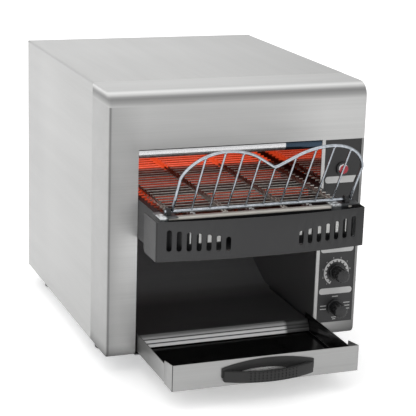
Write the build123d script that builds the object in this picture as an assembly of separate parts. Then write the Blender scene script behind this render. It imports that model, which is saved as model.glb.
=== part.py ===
from build123d import *
import os
from math import atan2, cos, pi, radians, sin

# Commercial conveyor toaster that takes two slices side by side.
#
# The cabinet stands on four feet. Bread leans on the wire rack, rides on the wire conveyor
# belt between the upper and lower heating tubes, drops behind the belt and slides down the
# chute into the pull-out tray at the front.
#
# Units are millimetres. The model is drawn with Y = 0 on the fascia's front face and is moved
# along Y when it is written, so that the origin lies under the middle of the whole machine.
# X is to the right as seen from the front, Y points to the back and Z is up.

# ---- cabinet -----------------------------------------------------------------------------
CASE_W = 370.0            # overall width
CASE_BACK = 431.0         # rear face of the cabinet, behind the fascia plane
CASE_BOTTOM = 22.0        # underside of the cabinet above the table
CASE_TOP = 386.0
SKIN = 1.2                # sheet thickness of the cabinet
FASCIA_DEPTH = 76.0       # how far the fascia wraps back to its seam
FASCIA_TOP_BEND = 20.0    # big bend between fascia front and top
FASCIA_BOTTOM_BEND = 9.0
FASCIA_SIDE_BEND = 3.0
SEAM = 0.5
FASCIA_RETURN = 21.0      # depth of the fascia's folded bottom edge
WRAP_FLANGE = 14.0        # folded bottom edge of the side walls

# ---- openings in the fascia ----------------------------------------------------------------
OPEN_LEFT = -143.9
OPEN_RIGHT = 120.4
OPEN_TOP = 308.5
OPEN_MID = (OPEN_LEFT + OPEN_RIGHT) / 2
PANEL_LEFT = 125.3
PANEL_RIGHT = 180.3
PANEL_BOTTOM = 41.6
PANEL_TOP = 308.1
PANEL_MID = (PANEL_LEFT + PANEL_RIGHT) / 2

# ---- conveyor ------------------------------------------------------------------------------
PITCH = 12.7              # distance between belt wires
TEETH = 12                # wires round one shaft, and teeth of its sprockets
PITCH_R = PITCH / (2 * sin(pi / TEETH))
WIRE_R = 1.1
FRONT_SHAFT_Y = -70.0
BELT_STEPS = 31           # pitches between the two shafts
REAR_SHAFT_Y = FRONT_SHAFT_Y + BELT_STEPS * PITCH
BELT_Z = 243.2            # centre of the wires of the upper run
SHAFT_Z = BELT_Z - PITCH_R
SHAFT_R = 6.5             # corner radius of the hexagonal shafts
JOURNAL_R = 5.0
RUN_FIT = 0.05            # radial clearance of a running fit
BELT_HALF = 125.0
LINK_OFFSETS = (-114.5, -41.5, 41.5, 114.5)
SPROCKET_OFFSETS = (-82.0, 0.0, 82.0)
SPROCKET_GAP = 0.3        # the teeth's tips pass this far inside the belt's wires
SPROCKET_T = 4.0

# ---- conveyor frame and guard ----------------------------------------------------------------
RAIL_T = 1.5
BRACKET_T = 1.2
BRACKET_TOP = 246.6
BUSH_R = 8.5              # corner radius of the hexagonal bushes
RAIL_LEDGE = 10.0         # the rails' top flange, which carries the belt's edges
RAIL_FRONT = -104.0
RAIL_BACK = 352.0
RAIL_BOTTOM = 189.5
RAIL_TOP = BELT_Z - WIRE_R
LINER_T = 1.1
LINER_BACK = 395.0
LINER_GAP = 0.3           # the liner stands this far inside the fascia's opening
GUARD_T = 1.2
GUARD_BOTTOM = 190.6
GUARD_TOP = 242.8
GUARD_LEFT = -156.5
GUARD_RIGHT = 133.0
GUARD_END_Y = -112.0
GUARD_BOW = 10.5          # how far the middle of the guard stands in front of its ends
GUARD_FLANGE_Y = -64.0    # rear edge of the side flanges
SLOTS = 7                 # slots in each of the guard's two fans
SLOT_PITCH = 12.9
SLOT_FIRST = 50.5         # from the guard's middle to the nearest slot
SLOT_R = 3.4

# ---- rack ------------------------------------------------------------------------------------
RACK_X = -6.5
RACK_Y = -96.0
RACK_Z = 251.0
RACK_LEAN = 30.5          # degrees forward of upright, at rest on its stop
RACK_HALF = 124.0
RACK_POST = 57.4          # height where the outer uprights end in a tight bend
RACK_KINK_R = 8.0
RACK_KINK_TURN = 15.5
RACK_SHOULDER_R = 55.0    # outer half of each hump
RACK_HUMP_R = 78.0        # inner half
RACK_FALL = 36.2          # slope between each hump and the valley
RACK_VALLEY_R = 7.0
RACK_FRAME_R = 2.1
RACK_BAR_R = 1.4
RACK_PIVOT_R = 2.3
RACK_BARS = 9
RACK_STEP = 24.5          # distance between the bars

# ---- tray and chute --------------------------------------------------------------------------
TRAY_LEFT = -141.7
TRAY_RIGHT = 118.0
TRAY_FRONT = -146.3
TRAY_BACK = 150.0
TRAY_BOTTOM = 28.0
TRAY_WALL_TOP = 53.5
TRAY_FRONT_TOP = 63.4
TRAY_RETURN = 31.0
TRAY_T = 1.0
CHUTE_T = 1.0
HANDLE_LEFT = -74.0
HANDLE_RIGHT = 51.0
HANDLE_BOTTOM = 35.2
HANDLE_TOP = 50.0
HANDLE_BOW = 20.0
HANDLE_T = 4.5
HANDLE_PLATE = 2.5        # thickness of the arched plate behind the handle
HANDLE_ARCH = 61.3        # its highest point

# ---- heating tubes -----------------------------------------------------------------------------
TUBE_R = 6.0
TUBE_END = 6.5            # half the side of the square ceramic ends
LOWER_TUBE_Z = 228.0
LOWER_TUBE_Y = (40.0, 137.0, 250.0)
UPPER_TUBE_Z = 293.0
UPPER_TUBE_Y = (60.0, 155.0, 250.0)

# ---- controls ----------------------------------------------------------------------------------
PLATE_FRONT = 0.6         # the control plate's face lies this far behind the fascia
SPEED_Z = 115.8
POWER_Z = 64.0
RESET_Z = 266.5
KNOB_R = 10.0
KNOB_H = 23.0
KNOB_GAP = 0.8
KNOB_SHAFT_R = 3.0

# ---- drive and cooling ---------------------------------------------------------------------------
DRIVE_X = 138.0
MOTOR_Z = 148.0
SPINDLE_R = 4.0
CHAIN_R = 13.0
CHAIN_TEETH = 10
FAN_X = 152.0
FAN_Z = 84.0
FAN_SIZE = 60.0
FAN_T = 20.0
FAN_PIN_R = 2.0

FOOT_X = 157.0
FOOT_Y = (100.0, 380.0)
FOOT_R = 16.5
FOOT_FLARE = 7.5          # degrees
GLAND_X = 100.0
GLAND_Z = 60.0
GLAND_OUT = 12.0

FRONT_MOST = TRAY_FRONT - HANDLE_BOW
Y_MIDDLE = (FRONT_MOST + CASE_BACK + GLAND_OUT) / 2


def block(x0, x1, y0, y1, z0, z1):
    """A box between two corners."""
    middle = ((x0 + x1) / 2, (y0 + y1) / 2, (z0 + z1) / 2)
    return Pos(*middle) * Box(x1 - x0, y1 - y0, z1 - z0)


def rod_x(x0, x1, y, z, r):
    """A round bar along X."""
    return Pos((x0 + x1) / 2, y, z) * Rot(0, 90, 0) * Cylinder(r, x1 - x0)


def rod_y(y0, y1, x, z, r):
    """A round bar along Y."""
    return Pos(x, (y0 + y1) / 2, z) * Rot(90, 0, 0) * Cylinder(r, y1 - y0)


def rod_z(z0, z1, x, y, r):
    """A round bar along Z."""
    return Pos(x, y, (z0 + z1) / 2) * Cylinder(r, z1 - z0)


def prism_x(x0, x1, y, z, r, sides):
    """A bar along X with a regular polygon as its section."""
    return Pos(x0, y, z) * extrude(Plane.YZ * RegularPolygon(r, sides), x1 - x0)


def prism_y(y0, y1, x, z, r, sides):
    """A bar along Y with a regular polygon as its section."""
    return Pos(x, y1, z) * extrude(Plane.XZ * RegularPolygon(r, sides), y1 - y0)


def bore_x(x0, x1, y, z, shaft_r):
    """Cutter for a bearing bore along X: twelve flats that clear a round shaft."""
    return prism_x(x0, x1, y, z, (shaft_r + RUN_FIT) / cos(pi / 12), 12)


def bore_y(y0, y1, x, z, shaft_r):
    """Cutter for a bearing bore along Y: twelve flats that clear a round shaft."""
    return prism_y(y0, y1, x, z, (shaft_r + RUN_FIT) / cos(pi / 12), 12)


def toothed(teeth, root, tip, tip_turn):
    """Outline of a toothed wheel with V-shaped gaps: root and tip radii, and half a tip's angle."""
    points = []
    for k in range(teeth):
        for r, turn in ((root, -180 / teeth), (tip, -tip_turn), (tip, tip_turn)):
            angle = radians(360 / teeth * (k + 0.5) + turn)
            points.append((r * cos(angle), r * sin(angle)))
    return make_face(Polyline(*points, close=True))


def across(face, x0, x1):
    """Extrude a face drawn as (Y, Z) from x0 to x1."""
    return Pos(x0, 0, 0) * extrude(Plane.YZ * face, x1 - x0)


def strip(line, thickness, side=Side.LEFT):
    """A face of constant thickness on one side of an open line."""
    return make_face(offset(line, amount=thickness, side=side, closed=True))


def save(name, shape):
    """Write one sub-part, moved so that the origin is under the machine's middle."""
    solids = [Pos(0, -Y_MIDDLE, 0) * solid for solid in shape.solids()]
    export_step(Compound(solids), f"parts/{name}.step")


# ---- cabinet -------------------------------------------------------------------------------


def fascia_profile(inset):
    """Side view of the fascia, offset inwards by inset; its back end is open."""
    front = inset
    top = CASE_TOP - inset
    bottom = CASE_BOTTOM + inset
    back = FASCIA_DEPTH + inset
    high = FASCIA_TOP_BEND - inset
    low = FASCIA_BOTTOM_BEND - inset
    outline = (
        Line((back, top), (front + high, top))
        + RadiusArc((front + high, top), (front, top - high), -high)
        + Line((front, top - high), (front, bottom + low))
        + RadiusArc((front, bottom + low), (front + low, bottom), -low)
        + Line((front + low, bottom), (back, bottom))
        + Line((back, bottom), (back, top))
    )
    return make_face(outline)


def rounded_plan(inset):
    """Upright block with the fascia's plan: its two front corners are bent round."""
    half = CASE_W / 2 - inset
    plan = Pos(0, inset + FASCIA_DEPTH / 2) * Rectangle(2 * half, FASCIA_DEPTH)
    plan = fillet(plan.vertices().group_by(Axis.Y)[0], FASCIA_SIDE_BEND - inset)
    return extrude(plan, CASE_TOP)


def fascia():
    """Front shell with its bends, the big opening and the window for the control plate."""
    half = CASE_W / 2
    shell = across(fascia_profile(0), -half, half) & rounded_plan(0)
    shell -= across(fascia_profile(SKIN), -half, half) & rounded_plan(SKIN)
    shell -= block(OPEN_LEFT, OPEN_RIGHT, -1, 40, CASE_BOTTOM - 1, OPEN_TOP)
    shell -= block(PANEL_LEFT, PANEL_RIGHT, -1, 3, PANEL_BOTTOM, PANEL_TOP)
    low = CASE_BOTTOM
    return shell - block(-half + SKIN, half - SKIN, FASCIA_RETURN, FASCIA_DEPTH + 1, low - 1, low + SKIN + 1)


def outer_wrap():
    """Sides and top of the cabinet, one folded sheet."""
    half = CASE_W / 2
    high = CASE_TOP - CASE_BOTTOM
    outer = Pos(0, CASE_BOTTOM + high / 2) * Rectangle(CASE_W, high)
    outer = fillet(outer.vertices().group_by(Axis.Y)[-1], 2.5)
    hollow_high = high - SKIN
    hollow = Pos(0, CASE_BOTTOM + hollow_high / 2) * Rectangle(CASE_W - 2 * SKIN, hollow_high)
    section = outer - hollow
    start = FASCIA_DEPTH + SEAM
    length = CASE_BACK - SKIN - start
    folded = Pos(0, start + length, 0) * extrude(Plane.XZ * section, length)
    foot_flange = block(-half + SKIN, -half + WRAP_FLANGE, start, start + length, CASE_BOTTOM, CASE_BOTTOM + SKIN)
    return folded + foot_flange + mirror(foot_flange, Plane.YZ)


def base_plate():
    """Floor of the cabinet with cooling slots under the control side."""
    half = CASE_W / 2
    low = CASE_BOTTOM
    seam = FASCIA_DEPTH + SEAM
    plate = block(-half + WRAP_FLANGE, half - WRAP_FLANGE, seam, CASE_BACK - SKIN, low, low + SKIN)
    plate += block(-half + SKIN, half - SKIN, FASCIA_RETURN, seam, low, low + SKIN)
    plate += block(OPEN_LEFT, OPEN_RIGHT, 1.4, FASCIA_RETURN, low, low + SKIN)
    for row in range(6):
        plate -= Pos(FAN_X - 6, 160 + 14 * row, low) * Box(34, 5, 6)
    return plate


def rear_panel():
    """Back of the cabinet: air slots, a grille over the fan and the cord's inlet hole."""
    half = CASE_W / 2
    panel = block(-half, half, CASE_BACK - SKIN, CASE_BACK, CASE_BOTTOM, CASE_TOP)
    for column in (-107, -30, 47):
        for row in range(4):
            panel -= Pos(column, CASE_BACK, 318 + 13 * row) * Box(62, 6, 5)
    for k in range(-3, 4):
        rise = 8 * k
        width = 2 * (28**2 - rise**2) ** 0.5
        panel -= Pos(FAN_X, CASE_BACK, FAN_Z + rise) * Box(width, 6, 4.5)
    return panel - prism_y(CASE_BACK - 4, CASE_BACK + 4, GLAND_X, GLAND_Z, 8.0, 12)


def cable_gland():
    """Cord inlet: threaded body, inner and outer nut and a tapered nose, with an open bore."""
    rear = CASE_BACK
    inside = rear - SKIN
    body = prism_y(inside - 8, rear + 5, GLAND_X, GLAND_Z, 7.9, 12)
    body += prism_y(inside - 4, inside, GLAND_X, GLAND_Z, 11, 6)
    body += prism_y(rear, rear + 5, GLAND_X, GLAND_Z, 11, 6)
    nose = extrude(RegularPolygon(9.4, 12), GLAND_OUT - 5, taper=18)
    body += Pos(GLAND_X, rear + 5, GLAND_Z) * Rot(-90, 0, 0) * nose
    return body - prism_y(rear - 20, rear + 20, GLAND_X, GLAND_Z, 4.2, 8)


def foot(x, y):
    """Rubber foot, wider at the top than at the table."""
    cone = extrude(RegularPolygon(FOOT_R, 16), CASE_BOTTOM, taper=FOOT_FLARE)
    return Pos(x, y, CASE_BOTTOM) * Rot(180, 0, 0) * cone


def control_plate():
    """Dark plate in the fascia's window, with holes for the two shafts and the button."""
    gap = 0.15
    x0, x1 = PANEL_LEFT + gap, PANEL_RIGHT - gap
    plate = block(x0, x1, PLATE_FRONT, PLATE_FRONT + 2.0, PANEL_BOTTOM + gap, PANEL_TOP - gap)
    for z in (SPEED_Z, POWER_Z):
        plate -= prism_y(-5, 8, PANEL_MID, z, 4.4, 8)
    return plate - prism_y(-5, 8, PANEL_MID, RESET_Z, 8.0, 16)


def opening_lip():
    """Polished strip under the header: a rolled edge that also guides slices in."""
    line = (
        Line((40, OPEN_TOP - 0.6), (5, OPEN_TOP - 0.6))
        + RadiusArc((5, OPEN_TOP - 0.6), (1.6, OPEN_TOP - 4), -3.4)
        + Line((1.6, OPEN_TOP - 4), (1.6, OPEN_TOP - 8))
        + Line((1.6, OPEN_TOP - 8), (6, OPEN_TOP - 12))
    )
    return across(strip(line, 0.8), OPEN_LEFT + 0.4, OPEN_RIGHT - 0.4)


# ---- oven and chute ------------------------------------------------------------------------


def tube_holes(tube_ys, z):
    """Cutters for the tubes' square ceramic ends where they pass a side wall."""
    side = 2 * TUBE_END + 0.4
    return [Pos(0, y, z) * Box(400, side, side) for y in tube_ys]


def liner(x0):
    """Polished side wall of oven and chute."""
    wall = block(x0, x0 + LINER_T, SKIN, LINER_BACK, CASE_BOTTOM + SKIN, OPEN_TOP - 2)
    wall -= block(x0 - 1, x0 + 3, 0, FASCIA_BOTTOM_BEND + 1, 0, CASE_BOTTOM + FASCIA_BOTTOM_BEND + 1)
    tubes = tube_holes(LOWER_TUBE_Y, LOWER_TUBE_Z) + tube_holes(UPPER_TUBE_Y, UPPER_TUBE_Z)
    return wall - (tubes + [Pos(0, REAR_SHAFT_Y, SHAFT_Z) * Box(400, 20, 20)])


def rail(x0):
    """Side plate of the conveyor: carries both shafts, the lower tubes and the belt's edge."""
    nose = (
        Line((RAIL_BACK, RAIL_BOTTOM), (RAIL_FRONT + 10, RAIL_BOTTOM))
        + RadiusArc((RAIL_FRONT + 10, RAIL_BOTTOM), (RAIL_FRONT, RAIL_BOTTOM + 10), 10)
        + Polyline(
            (RAIL_FRONT, RAIL_BOTTOM + 10),
            (RAIL_FRONT, RAIL_TOP),
            (RAIL_BACK, RAIL_TOP),
            (RAIL_BACK, RAIL_BOTTOM),
        )
    )
    plate = across(make_face(nose), x0, x0 + RAIL_T)
    ledge0, ledge1 = (x0, x0 + RAIL_LEDGE) if x0 < 0 else (x0 + RAIL_T - RAIL_LEDGE, x0 + RAIL_T)
    plate += block(ledge0, ledge1, FRONT_SHAFT_Y, REAR_SHAFT_Y, RAIL_TOP - RAIL_T, RAIL_TOP)
    for y in (FRONT_SHAFT_Y, REAR_SHAFT_Y):
        plate -= prism_x(x0 - 1, x0 + 3, y, SHAFT_Z, BUSH_R, 6)
    return plate - tube_holes(LOWER_TUBE_Y, LOWER_TUBE_Z)


RAIL_L = OPEN_LEFT + LINER_GAP
RAIL_R = OPEN_RIGHT - LINER_GAP - RAIL_T
INNER_L = RAIL_L + RAIL_T
INNER_R = RAIL_R


def ceiling_reflector():
    """Oven roof: three shallow troughs above the upper tubes."""
    low = UPPER_TUBE_Z + TUBE_R + 2.4
    high = OPEN_TOP - 3.5
    points = [(8, low)]
    for y in UPPER_TUBE_Y:
        points += [(y - 26, low), (y - 16, high), (y + 16, high), (y + 26, low)]
    points += [(LINER_BACK - 14, low)]
    line = Polyline(*points)
    return across(strip(line, 0.8), OPEN_LEFT + LINER_GAP, OPEN_RIGHT - LINER_GAP)


def lower_reflector():
    """Trough sheet close under the lower tubes."""
    base = LOWER_TUBE_Z - 9.0
    points = [(12, base + 6)]
    for y in LOWER_TUBE_Y:
        points += [(y - 22, base + 6), (y - 12, base), (y + 12, base), (y + 22, base + 6)]
    points += [(REAR_SHAFT_Y - 34, base + 6)]
    line = Polyline(*points)
    return across(strip(line, 0.8), INNER_L, INNER_R)


def rear_shield():
    """Upright sheet behind the belt's end; bread drops between it and the belt."""
    return block(OPEN_LEFT + LINER_GAP, OPEN_RIGHT - LINER_GAP, LINER_BACK - 2, LINER_BACK - 1, 182, OPEN_TOP - 4)


def chute():
    """Slide from behind the belt down to the tray, ending in a rolled lip."""
    slide = (
        Line((1.5, 33.5), (6.5, 43.0))
        + RadiusArc((6.5, 43.0), (12, 46.0), 6.5)
        + Line((12, 46.0), (174, 47.0))
        + ThreePointArc((174, 47.0), (268, 94), (LINER_BACK - 4, 181))
    )
    sheet = across(strip(slide, CHUTE_T, Side.RIGHT), OPEN_LEFT + LINER_GAP, OPEN_RIGHT - LINER_GAP)
    clear = TRAY_T + 0.8
    sheet -= block(-200, TRAY_LEFT + clear, -5, TRAY_BACK + 4, 0, 80)
    return sheet - block(TRAY_RIGHT - clear, 200, -5, TRAY_BACK + 4, 0, 80)


def conveyor_pan():
    """Sheet under the belt's return run, which shields the toast below."""
    return block(INNER_L, INNER_R, RAIL_FRONT + 12, 300, RAIL_BOTTOM, RAIL_BOTTOM + 0.9)


def nose_strip():
    """Rounded strip in front of the belt's turn."""
    line = (
        Line((-103.5, 197), (-103.5, 240))
        + RadiusArc((-103.5, 240), (-100.5, 243), 3)
        + Line((-100.5, 243), (-98, 243))
    )
    return across(strip(line, 1.0, Side.RIGHT), INNER_L + BRACKET_T, INNER_R - BRACKET_T)


def guard_front():
    """Plan of the guard's bow: flats that meet halfway between two slots."""
    middle = (GUARD_LEFT + GUARD_RIGHT) / 2
    half = (GUARD_RIGHT - GUARD_LEFT) / 2
    reach = [SLOT_FIRST + SLOT_PITCH * (k - 0.5) for k in range(SLOTS + 1)] + [half]
    side = [(x, GUARD_END_Y - GUARD_BOW * (1 - (x / half) ** 2)) for x in reach]
    left = [(middle - x, y) for x, y in reversed(side)]
    return left + [(middle + x, y) for x, y in side]


def guard():
    """Slotted front guard: a bowed plate whose ends fold back along the conveyor's sides."""
    front = guard_front()
    points = [(GUARD_LEFT, GUARD_FLANGE_Y), *front, (GUARD_RIGHT, GUARD_FLANGE_Y)]
    section = strip(Polyline(*points), GUARD_T)
    plate = Pos(0, 0, GUARD_BOTTOM) * extrude(section, GUARD_TOP - GUARD_BOTTOM)
    rear = plate.edges().filter_by(Axis.X).group_by(Axis.Y)[-1]
    plate = chamfer([edge for edge in rear if edge.center().Z < 200], 5.0)
    for side in (-1, 1):
        for k in range(SLOTS):
            plate -= guard_slot(side, k)
    return plate


def guard_slot(side, k):
    """One cutter of the fan-shaped slot groups: the outer slots are the longest."""
    x = (GUARD_LEFT + GUARD_RIGHT) / 2 + side * (SLOT_FIRST + SLOT_PITCH * k)
    low = 201.3 + 0.45 * k + SLOT_R
    high = 219.8 + 2.05 * k - SLOT_R
    turns = [pi / 3 * i for i in range(4)]
    top = [(x + SLOT_R * cos(a), high + SLOT_R * sin(a)) for a in turns]
    bottom = [(x - SLOT_R * cos(a), low - SLOT_R * sin(a)) for a in turns]
    face = make_face(Polyline(*top, *bottom, close=True))
    return Pos(0, GUARD_END_Y + 5, 0) * extrude(Plane.XZ * face, 24)


def guard_spacers():
    """Folded steel spacers between the conveyor's side plates and the guard's flanges."""
    left = block(GUARD_LEFT + GUARD_T, RAIL_L, -100, -84, 198, 234)
    left -= block(GUARD_LEFT + GUARD_T + 1.5, RAIL_L - 1.5, -98.5, -80, 190, 240)
    right = block(RAIL_R + RAIL_T, GUARD_RIGHT - GUARD_T, -100, -84, 198, 234)
    right -= block(RAIL_R + RAIL_T + 1.5, GUARD_RIGHT - GUARD_T - 1.5, -98.5, -80, 190, 240)
    return Compound(children=[left, right])


# ---- conveyor belt ---------------------------------------------------------------------------


def mitred_band(points, width):
    """A face of constant width along an open path in the XY plane, with mitred corners."""
    left = []
    right = []
    last = len(points) - 1
    for i, (x, y) in enumerate(points):
        x0, y0 = points[max(i - 1, 0)]
        x1, y1 = points[min(i + 1, last)]
        before = atan2(y - y0, x - x0) if i > 0 else atan2(y1 - y, x1 - x)
        after = atan2(y1 - y, x1 - x) if i < last else before
        middle = (before + after) / 2
        reach = width / 2 / cos((after - before) / 2)
        left.append((x - reach * sin(middle), y + reach * cos(middle)))
        right.append((x + reach * sin(middle), y - reach * cos(middle)))
    return make_face(Polyline(*left, *reversed(right), left[0]))


def belt_strand():
    """One cross wire with its four bent links, which reach up to the next wire."""
    reach = PITCH - 2 * WIRE_R - 0.02
    points = [(OPEN_MID - BELT_HALF, 0)]
    for offset_x in LINK_OFFSETS:
        x = OPEN_MID + offset_x
        points += [(x - 4.5, 0), (x, reach), (x + 4.5, 0)]
    points += [(OPEN_MID + BELT_HALF, 0)]
    return extrude(mitred_band(points, 2 * WIRE_R), WIRE_R, both=True)


def plain_strand():
    """A cross wire without its links, for the turns and the return run below."""
    return block(OPEN_MID - BELT_HALF, OPEN_MID + BELT_HALF, -WIRE_R, WIRE_R, -WIRE_R, WIRE_R)


def belt_upper_run():
    wire = belt_strand()
    strands = [Pos(0, FRONT_SHAFT_Y + PITCH * k, BELT_Z) * wire for k in range(BELT_STEPS)]
    end = Pos(0, REAR_SHAFT_Y, BELT_Z) * plain_strand()
    return Compound(children=strands + [end])


def belt_lower_run():
    low = SHAFT_Z - PITCH_R
    wire = plain_strand()
    return Compound(children=[Pos(0, FRONT_SHAFT_Y + PITCH * k, low) * wire for k in range(BELT_STEPS + 1)])


def belt_turn(shaft_y, side):
    """The wires that lie round one shaft, half a turn of them."""
    wires = []
    for k in range(1, TEETH // 2):
        angle = 360.0 / TEETH * k
        y = shaft_y + side * PITCH_R * sin(radians(angle))
        z = SHAFT_Z + PITCH_R * cos(radians(angle))
        wires.append(Pos(0, y, z) * Rot(-side * angle, 0, 0) * plain_strand())
    return Compound(children=wires)


def belt_shaft(y):
    """Hexagonal shaft with its sprockets and the round journals that run in the bushes."""
    tip = PITCH_R - WIRE_R - SPROCKET_GAP
    wheel = Plane.YZ * extrude(toothed(TEETH, tip - 4, tip, 4.5), SPROCKET_T / 2, both=True)
    shaft = prism_x(INNER_L + 1.2, INNER_R - 1.2, y, SHAFT_Z, SHAFT_R, 6)
    for x in SPROCKET_OFFSETS:
        shaft += Pos(OPEN_MID + x, y, SHAFT_Z) * wheel
    return shaft + rod_x(RAIL_L - 3, RAIL_R + RAIL_T + 3, y, SHAFT_Z, JOURNAL_R)


def bushes(y):
    """Hexagonal bushes of one shaft in the two rails, proud of the rails' inner faces."""
    left = prism_x(RAIL_L, INNER_L + 1, y, SHAFT_Z, BUSH_R, 6)
    right = prism_x(INNER_R - 1, RAIL_R + RAIL_T, y, SHAFT_Z, BUSH_R, 6)
    bore = bore_x(-200, 200, y, SHAFT_Z, JOURNAL_R)
    return [left - bore, right - bore]


# ---- heating tubes -----------------------------------------------------------------------------


def heating_tube(y, z, inner):
    """Quartz tube between square ceramic ends, which reach inner past the opening's edges."""
    left = OPEN_LEFT + inner
    right = OPEN_RIGHT - inner
    tube = prism_x(left, right, y, z, TUBE_R, 12)
    for x0, x1 in ((OPEN_LEFT - 12, left), (right, OPEN_RIGHT + 12)):
        tube += block(x0, x1, y - TUBE_END, y + TUBE_END, z - TUBE_END, z + TUBE_END)
    for x0, x1 in ((OPEN_LEFT - 22, OPEN_LEFT - 12), (OPEN_RIGHT + 12, OPEN_RIGHT + 22)):
        tube += block(x0, x1, y - 3.15, y + 3.15, z - 0.4, z + 0.4)
    return tube


# ---- rack ------------------------------------------------------------------------------------


def rack_outline():
    """Centre line of one half of the frame wire, from the pivot rod to the valley, in XY."""
    post = Line((-RACK_HALF, 0), (-RACK_HALF, RACK_POST))
    kink = JernArc(post @ 1, post % 1, RACK_KINK_R, -RACK_KINK_TURN)
    shoulder = JernArc(kink @ 1, kink % 1, RACK_SHOULDER_R, RACK_KINK_TURN - 90)
    hump = JernArc(shoulder @ 1, shoulder % 1, RACK_HUMP_R, -RACK_FALL)
    run = -(hump @ 1).X - RACK_VALLEY_R * sin(radians(RACK_FALL))
    fall = Line(hump @ 1, hump @ 1 + (hump % 1) * (run / cos(radians(RACK_FALL))))
    valley = JernArc(fall @ 1, fall % 1, RACK_VALLEY_R, RACK_FALL)
    return post + kink + shoulder + hump + fall + valley


def rack_path():
    """The outline's centre line as straight runs, about 18 degrees of bend at each joint."""
    points = []
    for edge in rack_outline().edges().sort_by(Axis.X):
        steps = 1
        if edge.geom_type != GeomType.LINE:
            steps = max(1, round(edge.length / edge.radius / radians(18)))
        ends = [edge @ (k / steps) for k in range(steps + 1)]
        points += ends if points == [] else ends[1:]
    return points


def rack_frame():
    """Welded wire rack, drawn upright: a frame wire with two humps, and bars inside it."""
    corners = rack_path()
    path = Plane.XZ * Polyline(*corners)
    section = Plane(path @ 0, z_dir=path % 0) * RegularPolygon(RACK_FRAME_R, 6)
    left = sweep(section, path=path, transition=Transition.RIGHT)
    frame = left + mirror(left, Plane.YZ)
    inside = make_face(Polyline(*corners, (0, 0), close=True))
    inside = extrude(Plane.XZ * inside, 5, both=True)
    inside += mirror(inside, Plane.YZ)
    bars = []
    for k in range(RACK_BARS):
        x = RACK_STEP * (k - (RACK_BARS - 1) / 2)
        bars.append(Pos(x, 0, 0) * extrude(RegularPolygon(RACK_BAR_R, 6), 120))
    for bar in bars:
        frame += bar & inside
    return frame - rod_x(-200, 200, 0, 0, RACK_PIVOT_R)


def rack_rod():
    """Pivot rod along the bottom of the rack, drawn upright at the pivot."""
    return rod_x(-RACK_HALF - 10, RACK_HALF + 2, 0, 0, RACK_PIVOT_R)


def on_rack(shape):
    """Lean a piece drawn upright about the pivot rod and put it in place."""
    return Pos(RACK_X, RACK_Y, RACK_Z) * Rot(RACK_LEAN, 0, 0) * shape


# ---- tray ------------------------------------------------------------------------------------


def tray_pan():
    """Folded tray: floor, two side walls and a low rear wall."""
    outer = block(TRAY_LEFT, TRAY_RIGHT, TRAY_FRONT + TRAY_T, TRAY_BACK, TRAY_BOTTOM, TRAY_WALL_TOP)
    inner = block(
        TRAY_LEFT + TRAY_T, TRAY_RIGHT - TRAY_T, TRAY_FRONT - 5, TRAY_BACK - TRAY_T, TRAY_BOTTOM + TRAY_T, 90
    )
    pan = outer - inner
    pan -= block(-200, 200, 20, TRAY_BACK + 1, 42, 90)
    return pan


def tray_front():
    """Front panel, taller than the walls, with short returns folded back along them."""
    x0, x1 = TRAY_LEFT - TRAY_T, TRAY_RIGHT + TRAY_T
    y1 = TRAY_FRONT + TRAY_RETURN
    panel = block(x0, x1, TRAY_FRONT, y1, TRAY_BOTTOM - 0.2, TRAY_FRONT_TOP)
    panel = fillet(panel.edges().filter_by(Axis.Z).group_by(Axis.Y)[0], 1.2)
    panel -= block(x0 + TRAY_T, x1 - TRAY_T, TRAY_FRONT + TRAY_T, y1 + 1, 0, 90)
    slope = Polyline(
        (TRAY_FRONT + 5, TRAY_FRONT_TOP + 1),
        (y1 + 1, TRAY_FRONT_TOP + 1),
        (y1 + 1, TRAY_FRONT_TOP - 4.5),
        (TRAY_FRONT + 5, TRAY_FRONT_TOP + 1),
    )
    return panel - across(make_face(slope), x0 - 1, x1 + 1)


def bowed(left, right, end, middle, steps=12):
    """Points of a shallow bow from left to right, at end on both sides and at middle half-way."""
    points = []
    for k in range(steps + 1):
        share = 2 * k / steps - 1
        points.append((left + (right - left) * k / steps, middle + (end - middle) * share**2))
    return points


def tray_handle():
    """Bow handle on an arched back plate; the band stands out between two thick feet."""
    left, right, face = HANDLE_LEFT, HANDLE_RIGHT, TRAY_FRONT
    middle = (left + right) / 2
    outer = bowed(left, right, face - 6, face - HANDLE_BOW)
    inner = bowed(left + 11, right - 11, face - 3.5, face - HANDLE_BOW + HANDLE_T)
    outline = [(left, face), *outer, (right, face), (right - 9, face), *reversed(inner), (left + 9, face)]
    band = extrude(make_face(Polyline(*outline, close=True)), HANDLE_TOP - HANDLE_BOTTOM)
    arch = bowed(left - 2, right + 2, HANDLE_TOP + 3, HANDLE_ARCH)
    plate = make_face(Polyline((left - 2, 40), *arch, (right + 2, 40), close=True))
    plate -= make_face(Polyline(*bowed(middle - 36, middle + 36, 43.5, 49.0, 8), close=True))
    return Pos(0, 0, HANDLE_BOTTOM) * band + Pos(0, face, 0) * extrude(Plane.XZ * plate, HANDLE_PLATE)


def tray_runners():
    """Low angle strips on the base plate that the tray slides on and between."""
    low = CASE_BOTTOM + SKIN
    left = block(TRAY_LEFT + 6, TRAY_LEFT + 18, 4, 330, low, TRAY_BOTTOM)
    right = block(TRAY_RIGHT - 18, TRAY_RIGHT - 6, 4, 330, low, TRAY_BOTTOM)
    return Compound(children=[left, right])


# ---- controls ----------------------------------------------------------------------------------


def grip_outline(r):
    """Twelve-lobed outline of a knob's grip."""
    points = []
    for k in range(24):
        radius = r if k % 2 else r - 1.1
        points.append((radius * cos(pi / 12 * k), radius * sin(pi / 12 * k)))
    return make_face(Polyline(*points, close=True))


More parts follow.
